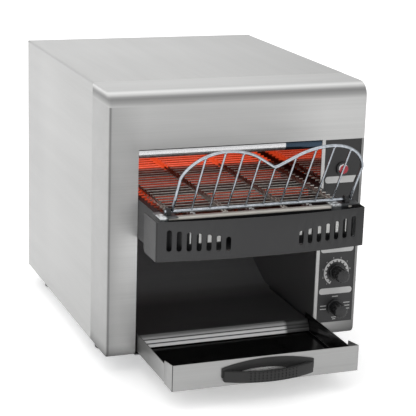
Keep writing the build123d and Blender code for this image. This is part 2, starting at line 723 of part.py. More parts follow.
def knob(z):
    """Control knob with a skirt, a fluted grip, a pointer ridge and its shaft."""
    front = PLATE_FRONT - KNOB_GAP
    skirt = 3.0
    body = extrude(RegularPolygon(KNOB_R + 1.6, 20), skirt)
    body += extrude(Pos(0, 0, skirt) * grip_outline(KNOB_R), KNOB_H - 1 - skirt)
    body += Pos(0, KNOB_R / 2 - 1, KNOB_H - 1) * Box(2.0, KNOB_R - 3, 2)
    body += rod_z(-14, 1, 0, 0, KNOB_SHAFT_R)
    return Pos(PANEL_MID, front, z) * Rot(90, 0, 0) * body


def rotary_body(z, size, depth):
    """Switch or potentiometer behind the plate, with the bore for the knob's shaft."""
    back = PLATE_FRONT + 2.0
    half = size / 2
    body = block(PANEL_MID - half, PANEL_MID + half, back, back + depth, z - half, z + half)
    return body - bore_y(-2, 15.5, PANEL_MID, z, KNOB_SHAFT_R)


def reset_socket():
    """Ring and body of the reset button."""
    ring = prism_y(PLATE_FRONT - 3, PLATE_FRONT, PANEL_MID, RESET_Z, 9.4, 16)
    ring += prism_y(PLATE_FRONT, PLATE_FRONT + 20, PANEL_MID, RESET_Z, 7.9, 16)
    return ring - prism_y(-10, PLATE_FRONT + 12, PANEL_MID, RESET_Z, 6.9, 16)


def reset_cap():
    """Button cap with a bevelled rim; it goes 3 mm into its socket."""
    face = PLATE_FRONT - 5.5
    cap = prism_y(face + 1, PLATE_FRONT + 8, PANEL_MID, RESET_Z, 6.8, 16)
    bevel = extrude(RegularPolygon(6.8, 16), 1, taper=45)
    return cap + Pos(PANEL_MID, face + 1, RESET_Z) * Rot(90, 0, 0) * bevel


# ---- drive and fan --------------------------------------------------------------------------------


def chain_wheel(z):
    """Small sprocket of the drive chain."""
    wheel = Plane.YZ * extrude(toothed(CHAIN_TEETH, CHAIN_R - 3, CHAIN_R, 4), 1.2, both=True)
    return Pos(DRIVE_X, REAR_SHAFT_Y, z) * wheel


def drive_wheel():
    """Chain wheel of the rear shaft on its hexagonal stub, which is keyed to the shaft's end."""
    return chain_wheel(SHAFT_Z) + prism_x(RAIL_R + RAIL_T + 3, DRIVE_X + 4, REAR_SHAFT_Y, SHAFT_Z, JOURNAL_R, 6)


def chain_outline(r):
    """Loop of straight links round the two wheels; r is the radius of its joints."""
    half = (SHAFT_Z - MOTOR_Z) / 2
    turns = [2 * pi / CHAIN_TEETH * k for k in range(CHAIN_TEETH // 2 + 1)]
    top = [(r * cos(a), half + r * sin(a)) for a in turns]
    bottom = [(-r * cos(a), -half - r * sin(a)) for a in turns]
    return make_face(Polyline(*top, *bottom, close=True))


def drive_chain():
    """Closed drive chain round the motor's and the rear shaft's sprockets."""
    loop = chain_outline(CHAIN_R + 4.6) - chain_outline(CHAIN_R + 1.2)
    return Pos(DRIVE_X, REAR_SHAFT_Y, (SHAFT_Z + MOTOR_Z) / 2) * (Plane.YZ * extrude(loop, 2.2, both=True))


def motor():
    """Gearmotor along X: gearbox, can and the bracket under them."""
    y = REAR_SHAFT_Y
    body = block(DRIVE_X + 8, DRIVE_X + 22, y - 26, y + 26, MOTOR_Z - 26, MOTOR_Z + 26)
    body = chamfer(body.edges().filter_by(Axis.X), 6)
    body += prism_x(DRIVE_X + 22, CASE_W / 2 - SKIN - 0.6, y, MOTOR_Z, 21, 16)
    body += block(OPEN_RIGHT - LINER_GAP + LINER_T, DRIVE_X + 22, y - 20, y + 20, MOTOR_Z - 32, MOTOR_Z - 25.5)
    return body - bore_x(DRIVE_X, DRIVE_X + 18, y, MOTOR_Z, SPINDLE_R)


def motor_spindle():
    """Output shaft of the gearmotor with its chain wheel."""
    stub = prism_x(DRIVE_X - 3, DRIVE_X + 6, REAR_SHAFT_Y, MOTOR_Z, SPINDLE_R, 6)
    journal = rod_x(DRIVE_X + 6, DRIVE_X + 17, REAR_SHAFT_Y, MOTOR_Z, SPINDLE_R)
    return stub + journal + chain_wheel(MOTOR_Z)


def fan_frame():
    """Square axial fan housing with a round duct and a motor boss on two struts."""
    back = CASE_BACK - SKIN
    half = FAN_SIZE / 2
    frame = block(FAN_X - half, FAN_X + half, back - FAN_T, back, FAN_Z - half, FAN_Z + half)
    frame -= prism_y(back - FAN_T - 1, back + 1, FAN_X, FAN_Z, half - 2, 16)
    frame += prism_y(back - FAN_T, back - FAN_T + 4, FAN_X, FAN_Z, 12, 12)
    for angle in (45, 135):
        strut = Box(2 * half - 2, 3, 3)
        frame += Pos(FAN_X, back - FAN_T + 1.5, FAN_Z) * Rot(0, angle, 0) * strut
    return frame - bore_y(back - FAN_T - 1, back - FAN_T + 5, FAN_X, FAN_Z, FAN_PIN_R)


def fan_rotor():
    """Hub with seven twisted blades."""
    back = CASE_BACK - SKIN
    hub = prism_y(back - FAN_T + 4.5, back - 2, FAN_X, FAN_Z, 12, 14)
    hub += rod_y(back - FAN_T - 0.5, back - FAN_T + 6, FAN_X, FAN_Z, FAN_PIN_R)
    blade = Pos(18.5, 0, 0) * Rot(38, 0, 0) * Box(16, 15, 1.2)
    for k in range(7):
        hub += Pos(FAN_X, back - 8, FAN_Z) * Rot(0, 360 / 7 * k, 0) * blade
    return hub


def front_brackets():
    """Polished folded brackets at the conveyor's front corners, which carry the rack's clips."""
    low, high = BRACKET_TOP - BRACKET_T, BRACKET_TOP
    back = RAIL_FRONT + 24
    left = block(RAIL_L - 7, INNER_L + 16, RAIL_FRONT - 5, back, low, high)
    left += block(RAIL_L - 7, INNER_L + 3, RAIL_FRONT - 5, RAIL_FRONT - 5 + BRACKET_T, 237, high)
    left += block(INNER_L, INNER_L + BRACKET_T, RAIL_FRONT + 1, back, 212, high)
    right = block(88, INNER_R + 9.5, RAIL_FRONT - BRACKET_T, back, low, high)
    right += block(88, 112, RAIL_FRONT - BRACKET_T, RAIL_FRONT, 236, high)
    right += block(INNER_R - BRACKET_T, INNER_R, RAIL_FRONT + 1, back, 212, high)
    return left, right


def rack_clip(x):
    """Dark block that holds one end of the rack's pivot rod."""
    clip = block(x - 3, x + 3, RACK_Y - 5, RACK_Y + 5, BRACKET_TOP, RACK_Z + 5)
    clip = chamfer(clip.edges().filter_by(Axis.X).group_by(Axis.Z)[-1], 3)
    return clip - bore_x(x - 5, x + 5, RACK_Y, RACK_Z, RACK_PIVOT_R)


# ---- all sub-parts ----------------------------------------------------------------------------------

os.makedirs("parts", exist_ok=True)

save("fascia", fascia())
save("outer_wrap", outer_wrap())
save("base_plate", base_plate())
save("rear_panel", rear_panel())
save("cable_gland", cable_gland())
for side, x in (("left", -FOOT_X), ("right", FOOT_X)):
    for end, y in zip(("front", "rear"), FOOT_Y):
        save(f"foot_{end}_{side}", foot(x, y))
save("control_plate", control_plate())
save("opening_lip", opening_lip())

save("liner_left", liner(OPEN_LEFT + LINER_GAP - LINER_T))
save("liner_right", liner(OPEN_RIGHT - LINER_GAP))
save("ceiling_reflector", ceiling_reflector())
save("lower_reflector", lower_reflector())
save("rear_shield", rear_shield())
save("chute", chute())
save("rail_left", rail(RAIL_L))
save("rail_right", rail(RAIL_R))
save("conveyor_pan", conveyor_pan())
save("nose_strip", nose_strip())
save("guard", guard())
save("guard_spacers", guard_spacers())
for side, bracket in zip(("left", "right"), front_brackets()):
    save(f"front_bracket_{side}", bracket)
save("rack_clips", Compound(children=[rack_clip(RACK_X - RACK_HALF - 5.5), rack_clip(RACK_X + RACK_HALF - 5.5)]))

for number, y in enumerate(LOWER_TUBE_Y, 1):
    save(f"lower_tube_{number}", heating_tube(y, LOWER_TUBE_Z, 6))
for number, y in enumerate(UPPER_TUBE_Y, 1):
    save(f"upper_tube_{number}", heating_tube(y, UPPER_TUBE_Z, 6))

save("belt_upper_run", belt_upper_run())
save("belt_lower_run", belt_lower_run())
save("belt_front_turn", belt_turn(FRONT_SHAFT_Y, -1))
save("belt_rear_turn", belt_turn(REAR_SHAFT_Y, 1))
save("front_shaft", belt_shaft(FRONT_SHAFT_Y))
save("shaft_bushes", Compound(children=bushes(FRONT_SHAFT_Y) + bushes(REAR_SHAFT_Y)))
save("rear_shaft", belt_shaft(REAR_SHAFT_Y))
save("drive_wheel", drive_wheel())
save("drive_chain", drive_chain())
save("motor", motor())
save("motor_spindle", motor_spindle())

save("rack_frame", on_rack(rack_frame()))
save("rack_rod", on_rack(rack_rod()))

save("tray_pan", tray_pan())
save("tray_front", tray_front())
save("tray_handle", tray_handle())
save("tray_runners", tray_runners())

save("speed_knob", knob(SPEED_Z))
save("power_knob", knob(POWER_Z))
save("speed_control", rotary_body(SPEED_Z, 24, 16))
save("power_switch", rotary_body(POWER_Z, 34, 38))
save("reset_socket", reset_socket())
save("reset_cap", reset_cap())
save("fan_frame", fan_frame())
save("fan_rotor", fan_rotor())
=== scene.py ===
from math import atan2, cos, degrees, pi, radians, sin, sqrt

import bmesh
import bpy
from bpy.props import FloatProperty, FloatVectorProperty, IntProperty, PointerProperty
from mathutils import Matrix, Vector


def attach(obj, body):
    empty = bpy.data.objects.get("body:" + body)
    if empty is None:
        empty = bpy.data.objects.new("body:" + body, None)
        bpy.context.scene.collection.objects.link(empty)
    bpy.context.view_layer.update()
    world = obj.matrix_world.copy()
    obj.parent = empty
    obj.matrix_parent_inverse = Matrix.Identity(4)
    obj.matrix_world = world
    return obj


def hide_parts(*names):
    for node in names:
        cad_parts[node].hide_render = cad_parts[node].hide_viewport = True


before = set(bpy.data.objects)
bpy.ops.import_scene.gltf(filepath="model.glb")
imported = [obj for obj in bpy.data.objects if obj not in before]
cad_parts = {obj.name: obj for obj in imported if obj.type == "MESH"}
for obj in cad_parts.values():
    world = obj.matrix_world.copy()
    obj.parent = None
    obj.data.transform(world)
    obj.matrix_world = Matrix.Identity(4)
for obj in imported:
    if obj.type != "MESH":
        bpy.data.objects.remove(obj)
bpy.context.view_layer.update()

bl_info = {
    "name": "Conveyor Toaster",
    "version": (1, 0, 0),
    "blender": (4, 5, 0),
    "location": "3D View > Sidebar > Toaster",
    "description": "Dresses the conveyor toaster's CAD frame with sheet metal, wire belt, rack and controls",
    "category": "Add Mesh",
}

MM = 0.001
Y_MIDDLE = 138.35  # distance from the fascia's plane back to the frame's origin
DONE = {"FINISHED"}

# ---- sizes in millimetres, y from the fascia's plane, z from the table ----

CASE_HALF, CASE_BACK, CASE_LOW, CASE_HIGH = 185.0, 431.0, 22.0, 386.0
SHEET, FASCIA_DEPTH, FLANGE = 1.2, 76.0, 14.0
OPEN_LEFT, OPEN_RIGHT, OPEN_TOP = -143.9, 120.4, 308.5
OPEN_MID = (OPEN_LEFT + OPEN_RIGHT) / 2
UNDER_START = 21
CHUTE_FRONT = ((1.5, 31.2), (7.0, 43.0), (10, 46.0), (174, 47.0))
CHUTE_ARC = ((268, 94), (391, 181))
NOSE_FOLD = ((-103.5, 197), (-103.5, 245), (-95, 245))
FEET = {
    "front_left": (-157, 100), "front_right": (157, 100), "rear_left": (-157, 380), "rear_right": (157, 380),
}
FOOT_LOW_R, FOOT_TOP_R = 13.6, 16.5

PLATE_LEFT, PLATE_RIGHT, PLATE_LOW, PLATE_HIGH = 125.3, 180.3, 41.6, 308.1
PLATE_MID = (PLATE_LEFT + PLATE_RIGHT) / 2
PLATE_FACE = 0.6
SPEED_Z, POWER_Z, RESET_Z = 115.8, 64.0, 266.5
FLUTES, FLUTE_HALF, FLUTE_DEPTH = 12, 5.1, 0.91
LABEL_BARS = (
    (127.6, 174.6, 246.2, 255.8, True), (127.2, 177.8, 145.4, 155.2), (127.6, 178.4, 83.6, 92.6),
)
LABEL_LINES = (
    (152.8, 79.6, 9.0), (135.0, 66.4, 9.0), (135.0, 61.6, 9.0), (171.5, 69.0, 10.0),
    (171.5, 64.4, 10.0), (171.5, 59.8, 10.0), (152.8, 48.4, 8.0), (152.8, 45.6, 5.0),
)
SCALE_START, SCALE_SWEEP, SCALE_TICKS, TICK_START, TICK_STEP = 24, 266, 13, -14, 20.5
NUMBERS, NUMBER_R, NUMBER_START, NUMBER_STEP = 9, 21.4, 230, 31.5

PITCH, TEETH, BELT_STEPS = 12.7, 12, 31
PITCH_R = PITCH / (2 * sin(pi / TEETH))
FRONT_SHAFT_Y = -70.0
REAR_SHAFT_Y = FRONT_SHAFT_Y + BELT_STEPS * PITCH
BELT_Z, BELT_HALF = 243.2, 125.0
SHAFT_Z = BELT_Z - PITCH_R
LINK_COLUMNS = (-114.5, -41.5, 41.5, 114.5)
LINK_HOOK = (
    (-1.7, 0.0, 0.0), (-1.9, 5.4, 0.4), (-2.6, 10.4, 2.0), (-2.9, 12.8, 2.35),
    (-2.7, 15.0, 0.7), (-2.2, 15.5, -1.9), (-1.3, 15.3, -2.3),
)
LOWER_TUBES = ((40.0, 228.0), (137.0, 228.0), (250.0, 228.0))
UPPER_TUBES = ((60.0, 293.0), (155.0, 293.0), (250.0, 293.0))
TUBE_END, TUBE_TAB = 12, 22

GUARD_LEFT, GUARD_RIGHT, GUARD_LOW, GUARD_HIGH = -156.5, 133.0, 190.6, 242.8
GUARD_END_Y, GUARD_BOW, GUARD_FLANGE_Y = -112.0, 10.5, -64.0
SLOT_FIRST, SLOT_STEP, SLOT_LEAN = 50.5, 12.9, 7.5
SLOT_LOW, SLOT_LOW_STEP, SLOT_HIGH, SLOT_HIGH_STEP = 201.3, 0.45, 219.8, 2.05
# Painted highlights on the nose strip, seen through the guard's slots
NOSE_SLOT_HIGHLIGHTS = (  # in metres across
    (-0.1192, -0.1180), (-0.1086, -0.1064), (-0.0962, -0.0924), (-0.0842, -0.0786),
    (-0.0716, -0.0660), (0.0440, 0.0478), (0.0568, 0.0614), (0.0700, 0.0750),
    (0.0822, 0.0874), (0.0956, 0.1002), (0.1096, 0.1112),
)

RACK_PIVOT, RACK_LEAN, RACK_HALF = (-6.5, -96.0, 251.0), 30.5, 124.0
RACK_BARS, RACK_STEP = 9, 24.5
RACK_POST, VALLEY_FALL, VALLEY_R = 57.4, 36.2, 7.0
RACK_BENDS = ((8.0, 15.5), (55.0, 74.5), (78.0, VALLEY_FALL))  # radius, degrees

TRAY_LEFT, TRAY_RIGHT, TRAY_FRONT, TRAY_BACK = -141.7, 118.0, -146.3, 150.0
TRAY_LOW, TRAY_WALL, TRAY_HIGH, TRAY_RETURN = 28.0, 53.5, 63.4, 31.0
HANDLE_LEFT, HANDLE_RIGHT, HANDLE_LOW, HANDLE_HIGH = -74.0, 51.0, 35.2, 50.0
HANDLE_MID = (HANDLE_LEFT + HANDLE_RIGHT) / 2
HANDLE_BOW, HANDLE_T, HANDLE_END = 20.0, 4.5, 6
HANDLE_PLATE, HANDLE_ARCH = 2.5, 61.3
HANDLE_GAP = ((-38, 43.5), (-38, 46.8), (-7, 49.0), (26, 45.4), (26, 43.5))  # across from the middle, height
PIT_COLUMNS, PIT_STEP, PIT_SHIFT = 13, 5.35, 1.6
PIT_ROWS, PIT_LOW, PIT_RISE = 4, 36.8, 3.9

# ---- camera ----

PICTURE_WIDTH, SENSOR, FOCAL_PIXELS = 416.0, 36.0, 1428.9
CAMERA_TURN, CAMERA_LIFT, CAMERA_ROLL = -21.22, 15.53, 1.84
CAMERA_GOAL, CAMERA_DISTANCE = (13.46, 150.0, 178.76), 2.08686


def at(x, y, z):
    """A point in millimetres from the fascia's plane, as metres in the shared frame."""
    return Vector((x, y - Y_MIDDLE, z)) * MM


# ---- modelling helpers ----


def nothing_selected():
    """Leave edit mode and deselect every object."""
    if bpy.context.mode != "OBJECT":
        bpy.ops.object.mode_set(mode="OBJECT")
    bpy.ops.object.select_all(action="DESELECT")


def only(*pieces):
    """Select these objects alone; the last one is active."""
    nothing_selected()
    for piece in pieces:
        piece.select_set(True)
    bpy.context.view_layer.objects.active = pieces[-1]


def delete(*pieces):
    only(*pieces)
    bpy.ops.object.delete()


def label(piece, name):
    """Name a piece and its mesh alike."""
    piece.name = name
    piece.data.name = name
    return piece


def named(name):
    """Name the object that was just added, and put its place into its mesh."""
    piece = label(bpy.context.object, name)
    bpy.ops.object.transform_apply(location=True, rotation=True, scale=True)
    return piece


def in_scene(piece):
    bpy.context.scene.collection.objects.link(piece)
    return piece


def block(name, low, high):
    """A block between two corners."""
    nothing_selected()
    bpy.ops.mesh.primitive_cube_add(size=1, location=(low + high) / 2)
    bpy.context.object.scale = high - low
    return named(name)


def round_bar(name, start, end, radius, sides=24):
    """A round bar between two points."""
    nothing_selected()
    run = end - start
    turn = run.to_track_quat("Z", "Y").to_euler()
    bpy.ops.mesh.primitive_cylinder_add(
        vertices=sides, radius=radius, depth=run.length, location=(start + end) / 2, rotation=turn
    )
    return named(name)


def ball(name, segments, rings, radius):
    nothing_selected()
    bpy.ops.mesh.primitive_uv_sphere_add(
        segments=segments, ring_count=rings, radius=radius, location=(0, 0, 0)
    )
    return named(name)


def edit(piece):
    """Open one piece in edit mode."""
    only(piece)
    bpy.ops.object.mode_set(mode="EDIT")


def done():
    """Go back to object mode."""
    bpy.ops.object.mode_set(mode="OBJECT")


def everything():
    bpy.ops.mesh.select_all(action="SELECT")


def pick(piece, kind, test):
    """In edit mode, select the verts, edges or faces whose test passes.

    A vertex is tested by its place, an edge by its two ends, a face by its middle and its normal.
    """
    bpy.ops.mesh.select_mode(type=kind[:-1].upper())
    bpy.ops.mesh.select_all(action="DESELECT")
    mesh = bmesh.from_edit_mesh(piece.data)
    for part in getattr(mesh, kind):
        if kind == "verts":
            facts = (part.co,)
        elif kind == "edges":
            facts = (part.verts[0].co, part.verts[1].co)
        else:
            facts = (part.calc_center_median(), part.normal)
        if test(*facts):
            part.select_set(True)
    bmesh.update_edit_mesh(piece.data)


def near(value, goal):
    """Whether a coordinate in metres is at a place given in metres."""
    return abs(value - goal) < 2e-5


def placed(**places):
    """A test for a vertex, or both ends of an edge, at these coordinates."""
    return lambda *ends: all(
        near(getattr(end, axis), place) for end in ends for axis, place in places.items()
    )


def remove_faces(piece, test):
    pick(piece, "faces", test)
    bpy.ops.mesh.delete(type="FACE")


def move_points(piece, test, shift):
    """Move the vertices that pass the test."""
    pick(piece, "verts", test)
    bpy.ops.transform.translate(value=shift)


def round_edges(piece, test, width, segments):
    """Bevel the edges that pass the test."""
    pick(piece, "edges", test)
    bpy.ops.mesh.bevel(offset=width, segments=segments, affect="EDGES", clamp_overlap=False)


def pull_edges(piece, test, shift):
    """Extrude the edges that pass the test."""
    pick(piece, "edges", test)
    bpy.ops.mesh.extrude_edges_move(TRANSFORM_OT_translate={"value": shift})


def apply_all(piece):
    only(piece)
    for modifier in list(piece.modifiers):
        bpy.ops.object.modifier_apply(modifier=modifier.name)


def give_wall(piece, thickness):
    """Turn a skin into sheet metal, inwards."""
    wall = piece.modifiers.new("Wall", "SOLIDIFY")
    wall.thickness = thickness
    wall.offset = -1.0
    wall.use_even_offset = True
    apply_all(piece)


def cut_away(piece, *cutters):
    """Cut other pieces out of this one and delete them."""
    for cutter in cutters:
        hole = piece.modifiers.new("Hole", "BOOLEAN")
        hole.operation = "DIFFERENCE"
        hole.solver = "EXACT"
        hole.object = cutter
        apply_all(piece)
    delete(*cutters)


def joined(name, pieces):
    """Join pieces into one."""
    only(*pieces)
    if len(pieces) > 1:
        bpy.ops.object.join()
    return label(bpy.context.object, name)


def copy_of(piece, name):
    """A copy with its own mesh."""
    twin = piece.copy()
    twin.data = piece.data.copy()
    return in_scene(label(twin, name))


def shift_mesh(piece, shift):
    piece.data.transform(Matrix.Translation(shift))


def turn_mesh(piece, centre, angle):
    """Turn a piece about Y round a centre, by an angle in degrees."""
    turn = Matrix.Rotation(radians(angle), 4, "Y")
    piece.data.transform(Matrix.Translation(centre) @ turn @ Matrix.Translation(-centre))


def shade(piece, angle=35):
    only(piece)
    bpy.ops.object.shade_smooth_by_angle(angle=radians(angle))


def edge_round(piece, width, segments=2, angle=40):
    """Break the sharp edges of a piece, then shade it."""
    bevel = piece.modifiers.new("Edges", "BEVEL")
    bevel.width = width
    bevel.segments = segments
    bevel.limit_method = "ANGLE"
    bevel.angle_limit = radians(angle)
    bevel.use_clamp_overlap = True
    apply_all(piece)
    shade(piece)


def outward(piece):
    """Point all faces outwards."""
    edit(piece)
    everything()
    bpy.ops.mesh.remove_doubles(threshold=1e-6)
    bpy.ops.mesh.normals_make_consistent(inside=False)
    done()


def ready(piece, body, finishes, slot, *nodes):
    """Give a piece its finishes, let it ride on its body and stand for its nodes."""
    indexes = [face.material_index for face in piece.data.polygons]
    piece.data.materials.clear()
    for name in [finishes] if isinstance(finishes, str) else finishes:
        piece.data.materials.append(finish_named(name))
    for face, index in zip(piece.data.polygons, indexes):
        face.material_index = index
    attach(piece, body)
    if nodes:
        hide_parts(*nodes)


def mark_corners(piece, front):
    """Give the upright rounded corners next to a front plane the piece's second finish: a painted dark
    reflection along them.
    """
    for face in piece.data.polygons:
        n = face.normal
        slanted = 0.25 < abs(n.x) < 0.97 and abs(n.z) < 0.2 and abs(n.y) > 0.2
        corner = slanted and abs(face.center.y - front) < 0.003 and face.area < 1e-3
        face.material_index = 1 if corner else 0


def folded_sheet(name, x0, x1, points, bends, thickness):
    """Sheet metal folded along X through (y, z) points; bends gives the radius at a point's index."""
    nothing_selected()
    start, end = at(0, *points[0]), at(0, *points[1])
    run = end - start
    middle = (start + end) / 2 + Vector(((x0 + x1) / 2 * MM, 0, 0))
    bpy.ops.mesh.primitive_plane_add(size=1, location=middle, rotation=(atan2(run.z, run.y), 0, 0))
    bpy.context.object.scale = ((x1 - x0) * MM, run.length, 1)
    sheet = named(name)
    edit(sheet)
    for here, there in zip(points[1:], points[2:]):
        here, there = at(0, *here), at(0, *there)
        pull_edges(sheet, placed(y=here.y, z=here.z), there - here)
    for index, radius in bends.items():
        here = at(0, *points[index])
        round_edges(sheet, placed(y=here.y, z=here.z), radius * MM, 5)
    done()
    give_wall(sheet, thickness * MM)
    return sheet


def arc_points(a, b, c, steps):
    """Points of the circle's arc through three (y, z) points, without its first point."""
    d = 2 * (a[0] * (b[1] - c[1]) + b[0] * (c[1] - a[1]) + c[0] * (a[1] - b[1]))
    sa, sb, sc = (p[0] ** 2 + p[1] ** 2 for p in (a, b, c))
    y = (sa * (b[1] - c[1]) + sb * (c[1] - a[1]) + sc * (a[1] - b[1])) / d
    z = (sa * (c[0] - b[0]) + sb * (a[0] - c[0]) + sc * (b[0] - a[0])) / d
    r = sqrt((a[0] - y) ** 2 + (a[1] - z) ** 2)
    first, last = atan2(a[1] - z, a[0] - y), atan2(c[1] - z, c[0] - y)
    step = ((last - first + pi) % (2 * pi) - pi) / steps
    return [(y + r * cos(first + step * k), z + r * sin(first + step * k)) for k in range(1, steps + 1)]


def bow_reach(x, half, bow):
    """How far a bow of this half width and rise stands out, x away from its middle."""
    circle = (half**2 + bow**2) / (2 * bow)
    return sqrt(circle**2 - x**2) - (circle - bow)


def bent_wire(name, points, radius, resolution):
    """A round wire through points in metres."""
    path = bpy.data.curves.new(name, "CURVE")
    path.dimensions = "3D"
    path.bevel_depth = radius
    path.bevel_resolution = resolution
    path.use_fill_caps = True
    run = path.splines.new("POLY")
    run.points.add(len(points) - 1)
    for knot, point in zip(run.points, points):
        knot.co = (*point, 1.0)
    only(in_scene(bpy.data.objects.new(name, path)))
    bpy.ops.object.convert(target="MESH")
    return label(bpy.context.object, name)


# ---- finishes ----


class Nodes:
    """A node tree and the few nodes that its patterns need."""

    def __init__(self, owner):
        owner.use_nodes = True
        self.nodes, self.links = owner.node_tree.nodes, owner.node_tree.links

    def add(self, kind, **values):
        made = self.nodes.new(kind)
        for key, value in values.items():
            setattr(made, key, value)
        return made

    def spread(self, value, low, high, out_low=0.0, out_high=1.0, smooth=False):
        """Map a value from one range to another."""
        made = self.add("ShaderNodeMapRange", interpolation_type="SMOOTHSTEP" if smooth else "LINEAR")
        ends = {"From Min": low, "From Max": high, "To Min": out_low, "To Max": out_high}
        for key, number in ends.items():
            made.inputs[key].default_value = number
        self.links.new(value, made.inputs["Value"])
        return made.outputs["Result"]

    def fall(self, value, low, high):
        """1 below a place, 0 above it."""
        return self.spread(value, low, high, 1.0, 0.0)

    def calc(self, operation, first, second=0.0):
        """A Math node; each value is a number or a socket."""
        made = self.add("ShaderNodeMath", operation=operation)
        for socket, value in zip(made.inputs, (first, second)):
            if isinstance(value, float):
                socket.default_value = value
            else:
                self.links.new(value, socket)
        return made.outputs["Value"]

    def plus(self, first, second):
        return self.calc("ADD", first, second)

    def both(self, first, second):
        """The product of two values."""
        return self.calc("MULTIPLY", first, second)

    def between(self, value, low, high, soft):
        """1 between two places, 0 beyond them."""
        return self.both(self.spread(value, low, low + soft), self.fall(value, high - soft, high))

    def seen(self):
        """1 where the background is seen directly, in a mirror or through glass."""
        path = self.add("ShaderNodeLightPath").outputs
        plain = self.calc("MAXIMUM", path["Is Camera Ray"], path["Is Glossy Ray"])
        return self.calc("MAXIMUM", plain, path["Is Transmission Ray"])


class Finish(Nodes):
    """One material with its shader."""

    def __init__(self, name, colour, roughness, metallic=0.0):
        self.material = bpy.data.materials.new(name)
        super().__init__(self.material)
        self.sockets = self.nodes["Principled BSDF"].inputs
        self.sockets["Base Color"].default_value = (*colour, 1)
        self.sockets["Roughness"].default_value = roughness
        self.sockets["Metallic"].default_value = metallic

    def place(self, stretch):
        """Object coordinates, stretched along the grain."""
        mapping = self.add("ShaderNodeMapping")
        mapping.inputs["Scale"].default_value = stretch
        self.links.new(self.add("ShaderNodeTexCoord").outputs["Object"], mapping.inputs["Vector"])
        return mapping.outputs["Vector"]

    def noise(self, stretch, scale=1.0, detail=4.0, roughness=0.6):
        made = self.add("ShaderNodeTexNoise")
        made.inputs["Scale"].default_value = scale
        made.inputs["Detail"].default_value = detail
        made.inputs["Roughness"].default_value = roughness
        self.links.new(self.place(stretch), made.inputs["Vector"])
        return made.outputs["Fac"]

    def mix(self, factor, first, second, blend="MIX"):
        """Blend two colours, each a colour or a socket; the factor is a number or a socket."""
        made = self.add("ShaderNodeMix", data_type="RGBA", blend_type=blend)
        if isinstance(factor, float):
            made.inputs["Factor"].default_value = factor
        else:
            self.links.new(factor, made.inputs["Factor"])
        for socket, value in ((made.inputs[6], first), (made.inputs[7], second)):
            if isinstance(value, tuple):
                socket.default_value = (*value, 1)
            else:
                self.links.new(value, socket)
        return made.outputs[2]

    def tone(self, value, stops):
        """A grey level for each place along a coordinate; stops are (place in metres, level)."""
        low, high = stops[0][0], stops[-1][0]
        made = self.add("ShaderNodeValToRGB")
        ramp = made.color_ramp
        while len(ramp.elements) < len(stops):
            ramp.elements.new(0.5)
        for element, (place, level) in zip(ramp.elements, stops):
            element.position = (place - low) / (high - low)
            element.color = (level, level, level, 1)
        self.links.new(self.spread(value, low, high), made.inputs["Fac"])
        return made.outputs["Color"]

    def axis(self, name):
        """One of the piece's own coordinates, in metres."""
        split = self.add("ShaderNodeSeparateXYZ")
        self.links.new(self.add("ShaderNodeTexCoord").outputs["Object"], split.inputs["Vector"])
        return split.outputs[name]

    def painted_with(self):
        """The colour that is linked to the shader."""
        return self.sockets["Base Color"].links[0].from_socket

    def paint(self, colour):
        self.links.new(colour, self.sockets["Base Color"])

    def tint(self, *tones):
        """Multiply the colour by one tone after another."""
        for tone in tones:
            self.paint(self.mix(1.0, self.painted_with(), tone, "MULTIPLY"))

    def overlay(self, factor, colour):
        """Another colour where the factor is 1."""
        self.paint(self.mix(factor, self.painted_with(), colour))

    def gloss(self, roughness):
        self.links.new(roughness, self.sockets["Roughness"])

    def shine(self, strength, colour):
        """Let the surface glow as strongly as a socket says."""
        self.links.new(strength, self.sockets["Emission Strength"])
        self.sockets["Emission Color"].default_value = (*colour, 1)

    def bump(self, height, strength):
        made = self.add("ShaderNodeBump")
        made.inputs["Strength"].default_value = strength
        made.inputs["Distance"].default_value = 0.0002
        self.links.new(height, made.inputs["Height"])
        self.links.new(made.outputs["Normal"], self.sockets["Normal"])


WHITE = (1.0, 1.0, 1.0)


def darker(colour, by):
    return tuple(min(1.0, part * by) for part in colour)


def brushed_steel(name, colour, stretch, rough=(0.26, 0.40), metallic=0.9):
    """Stainless sheet with a fine grain in one direction and faint rolling marks."""
    finish = Finish(name, colour, rough[0], metallic)
    grain = finish.noise(stretch, 1.0, 6.0, 0.7)
    clouds = finish.noise(tuple(max(3.2, 0.12 * part) for part in stretch), 1.0, 3.0)
    grained = finish.mix(finish.spread(grain, 0.3, 0.7), darker(colour, 0.92), darker(colour, 1.05))
    finish.paint(finish.mix(finish.spread(clouds, 0.35, 0.7, 0.0, 0.5), grained, darker(colour, 1.1)))
    finish.gloss(finish.spread(grain, 0.25, 0.75, *rough))
    finish.bump(grain, 0.05)
    return finish


def painted(name, colour, rough=0.45, grain=900.0, strength=0.12, metallic=0.0):
    """Powder paint or moulded plastic with its fine orange-peel texture."""
    finish = Finish(name, colour, rough, metallic)
    peel = finish.noise((1, 1, 1), grain, 3.0)
    dust = finish.noise((1, 1, 1), 14.0, 3.0)
    finish.paint(finish.mix(finish.spread(dust, 0.3, 0.7), darker(colour, 0.9), darker(colour, 1.12)))
    finish.gloss(finish.spread(peel, 0.3, 0.7, rough - 0.06, rough + 0.08))
    finish.bump(peel, strength)
    return finish


def bright_wire(name, colour, rough=0.12, tint=None):
    """Drawn and plated wire: nearly a mirror, with faint draw marks."""
    finish = Finish(name, colour, rough, 1.0)
    marks = finish.noise((1, 1, 1), 260.0, 3.0)
    finish.paint(finish.mix(finish.spread(marks, 0.3, 0.7), darker(colour, 0.82), tint or colour))
    finish.gloss(finish.spread(marks, 0.3, 0.7, rough, rough + 0.14))
    finish.bump(marks, 0.05)
    return finish


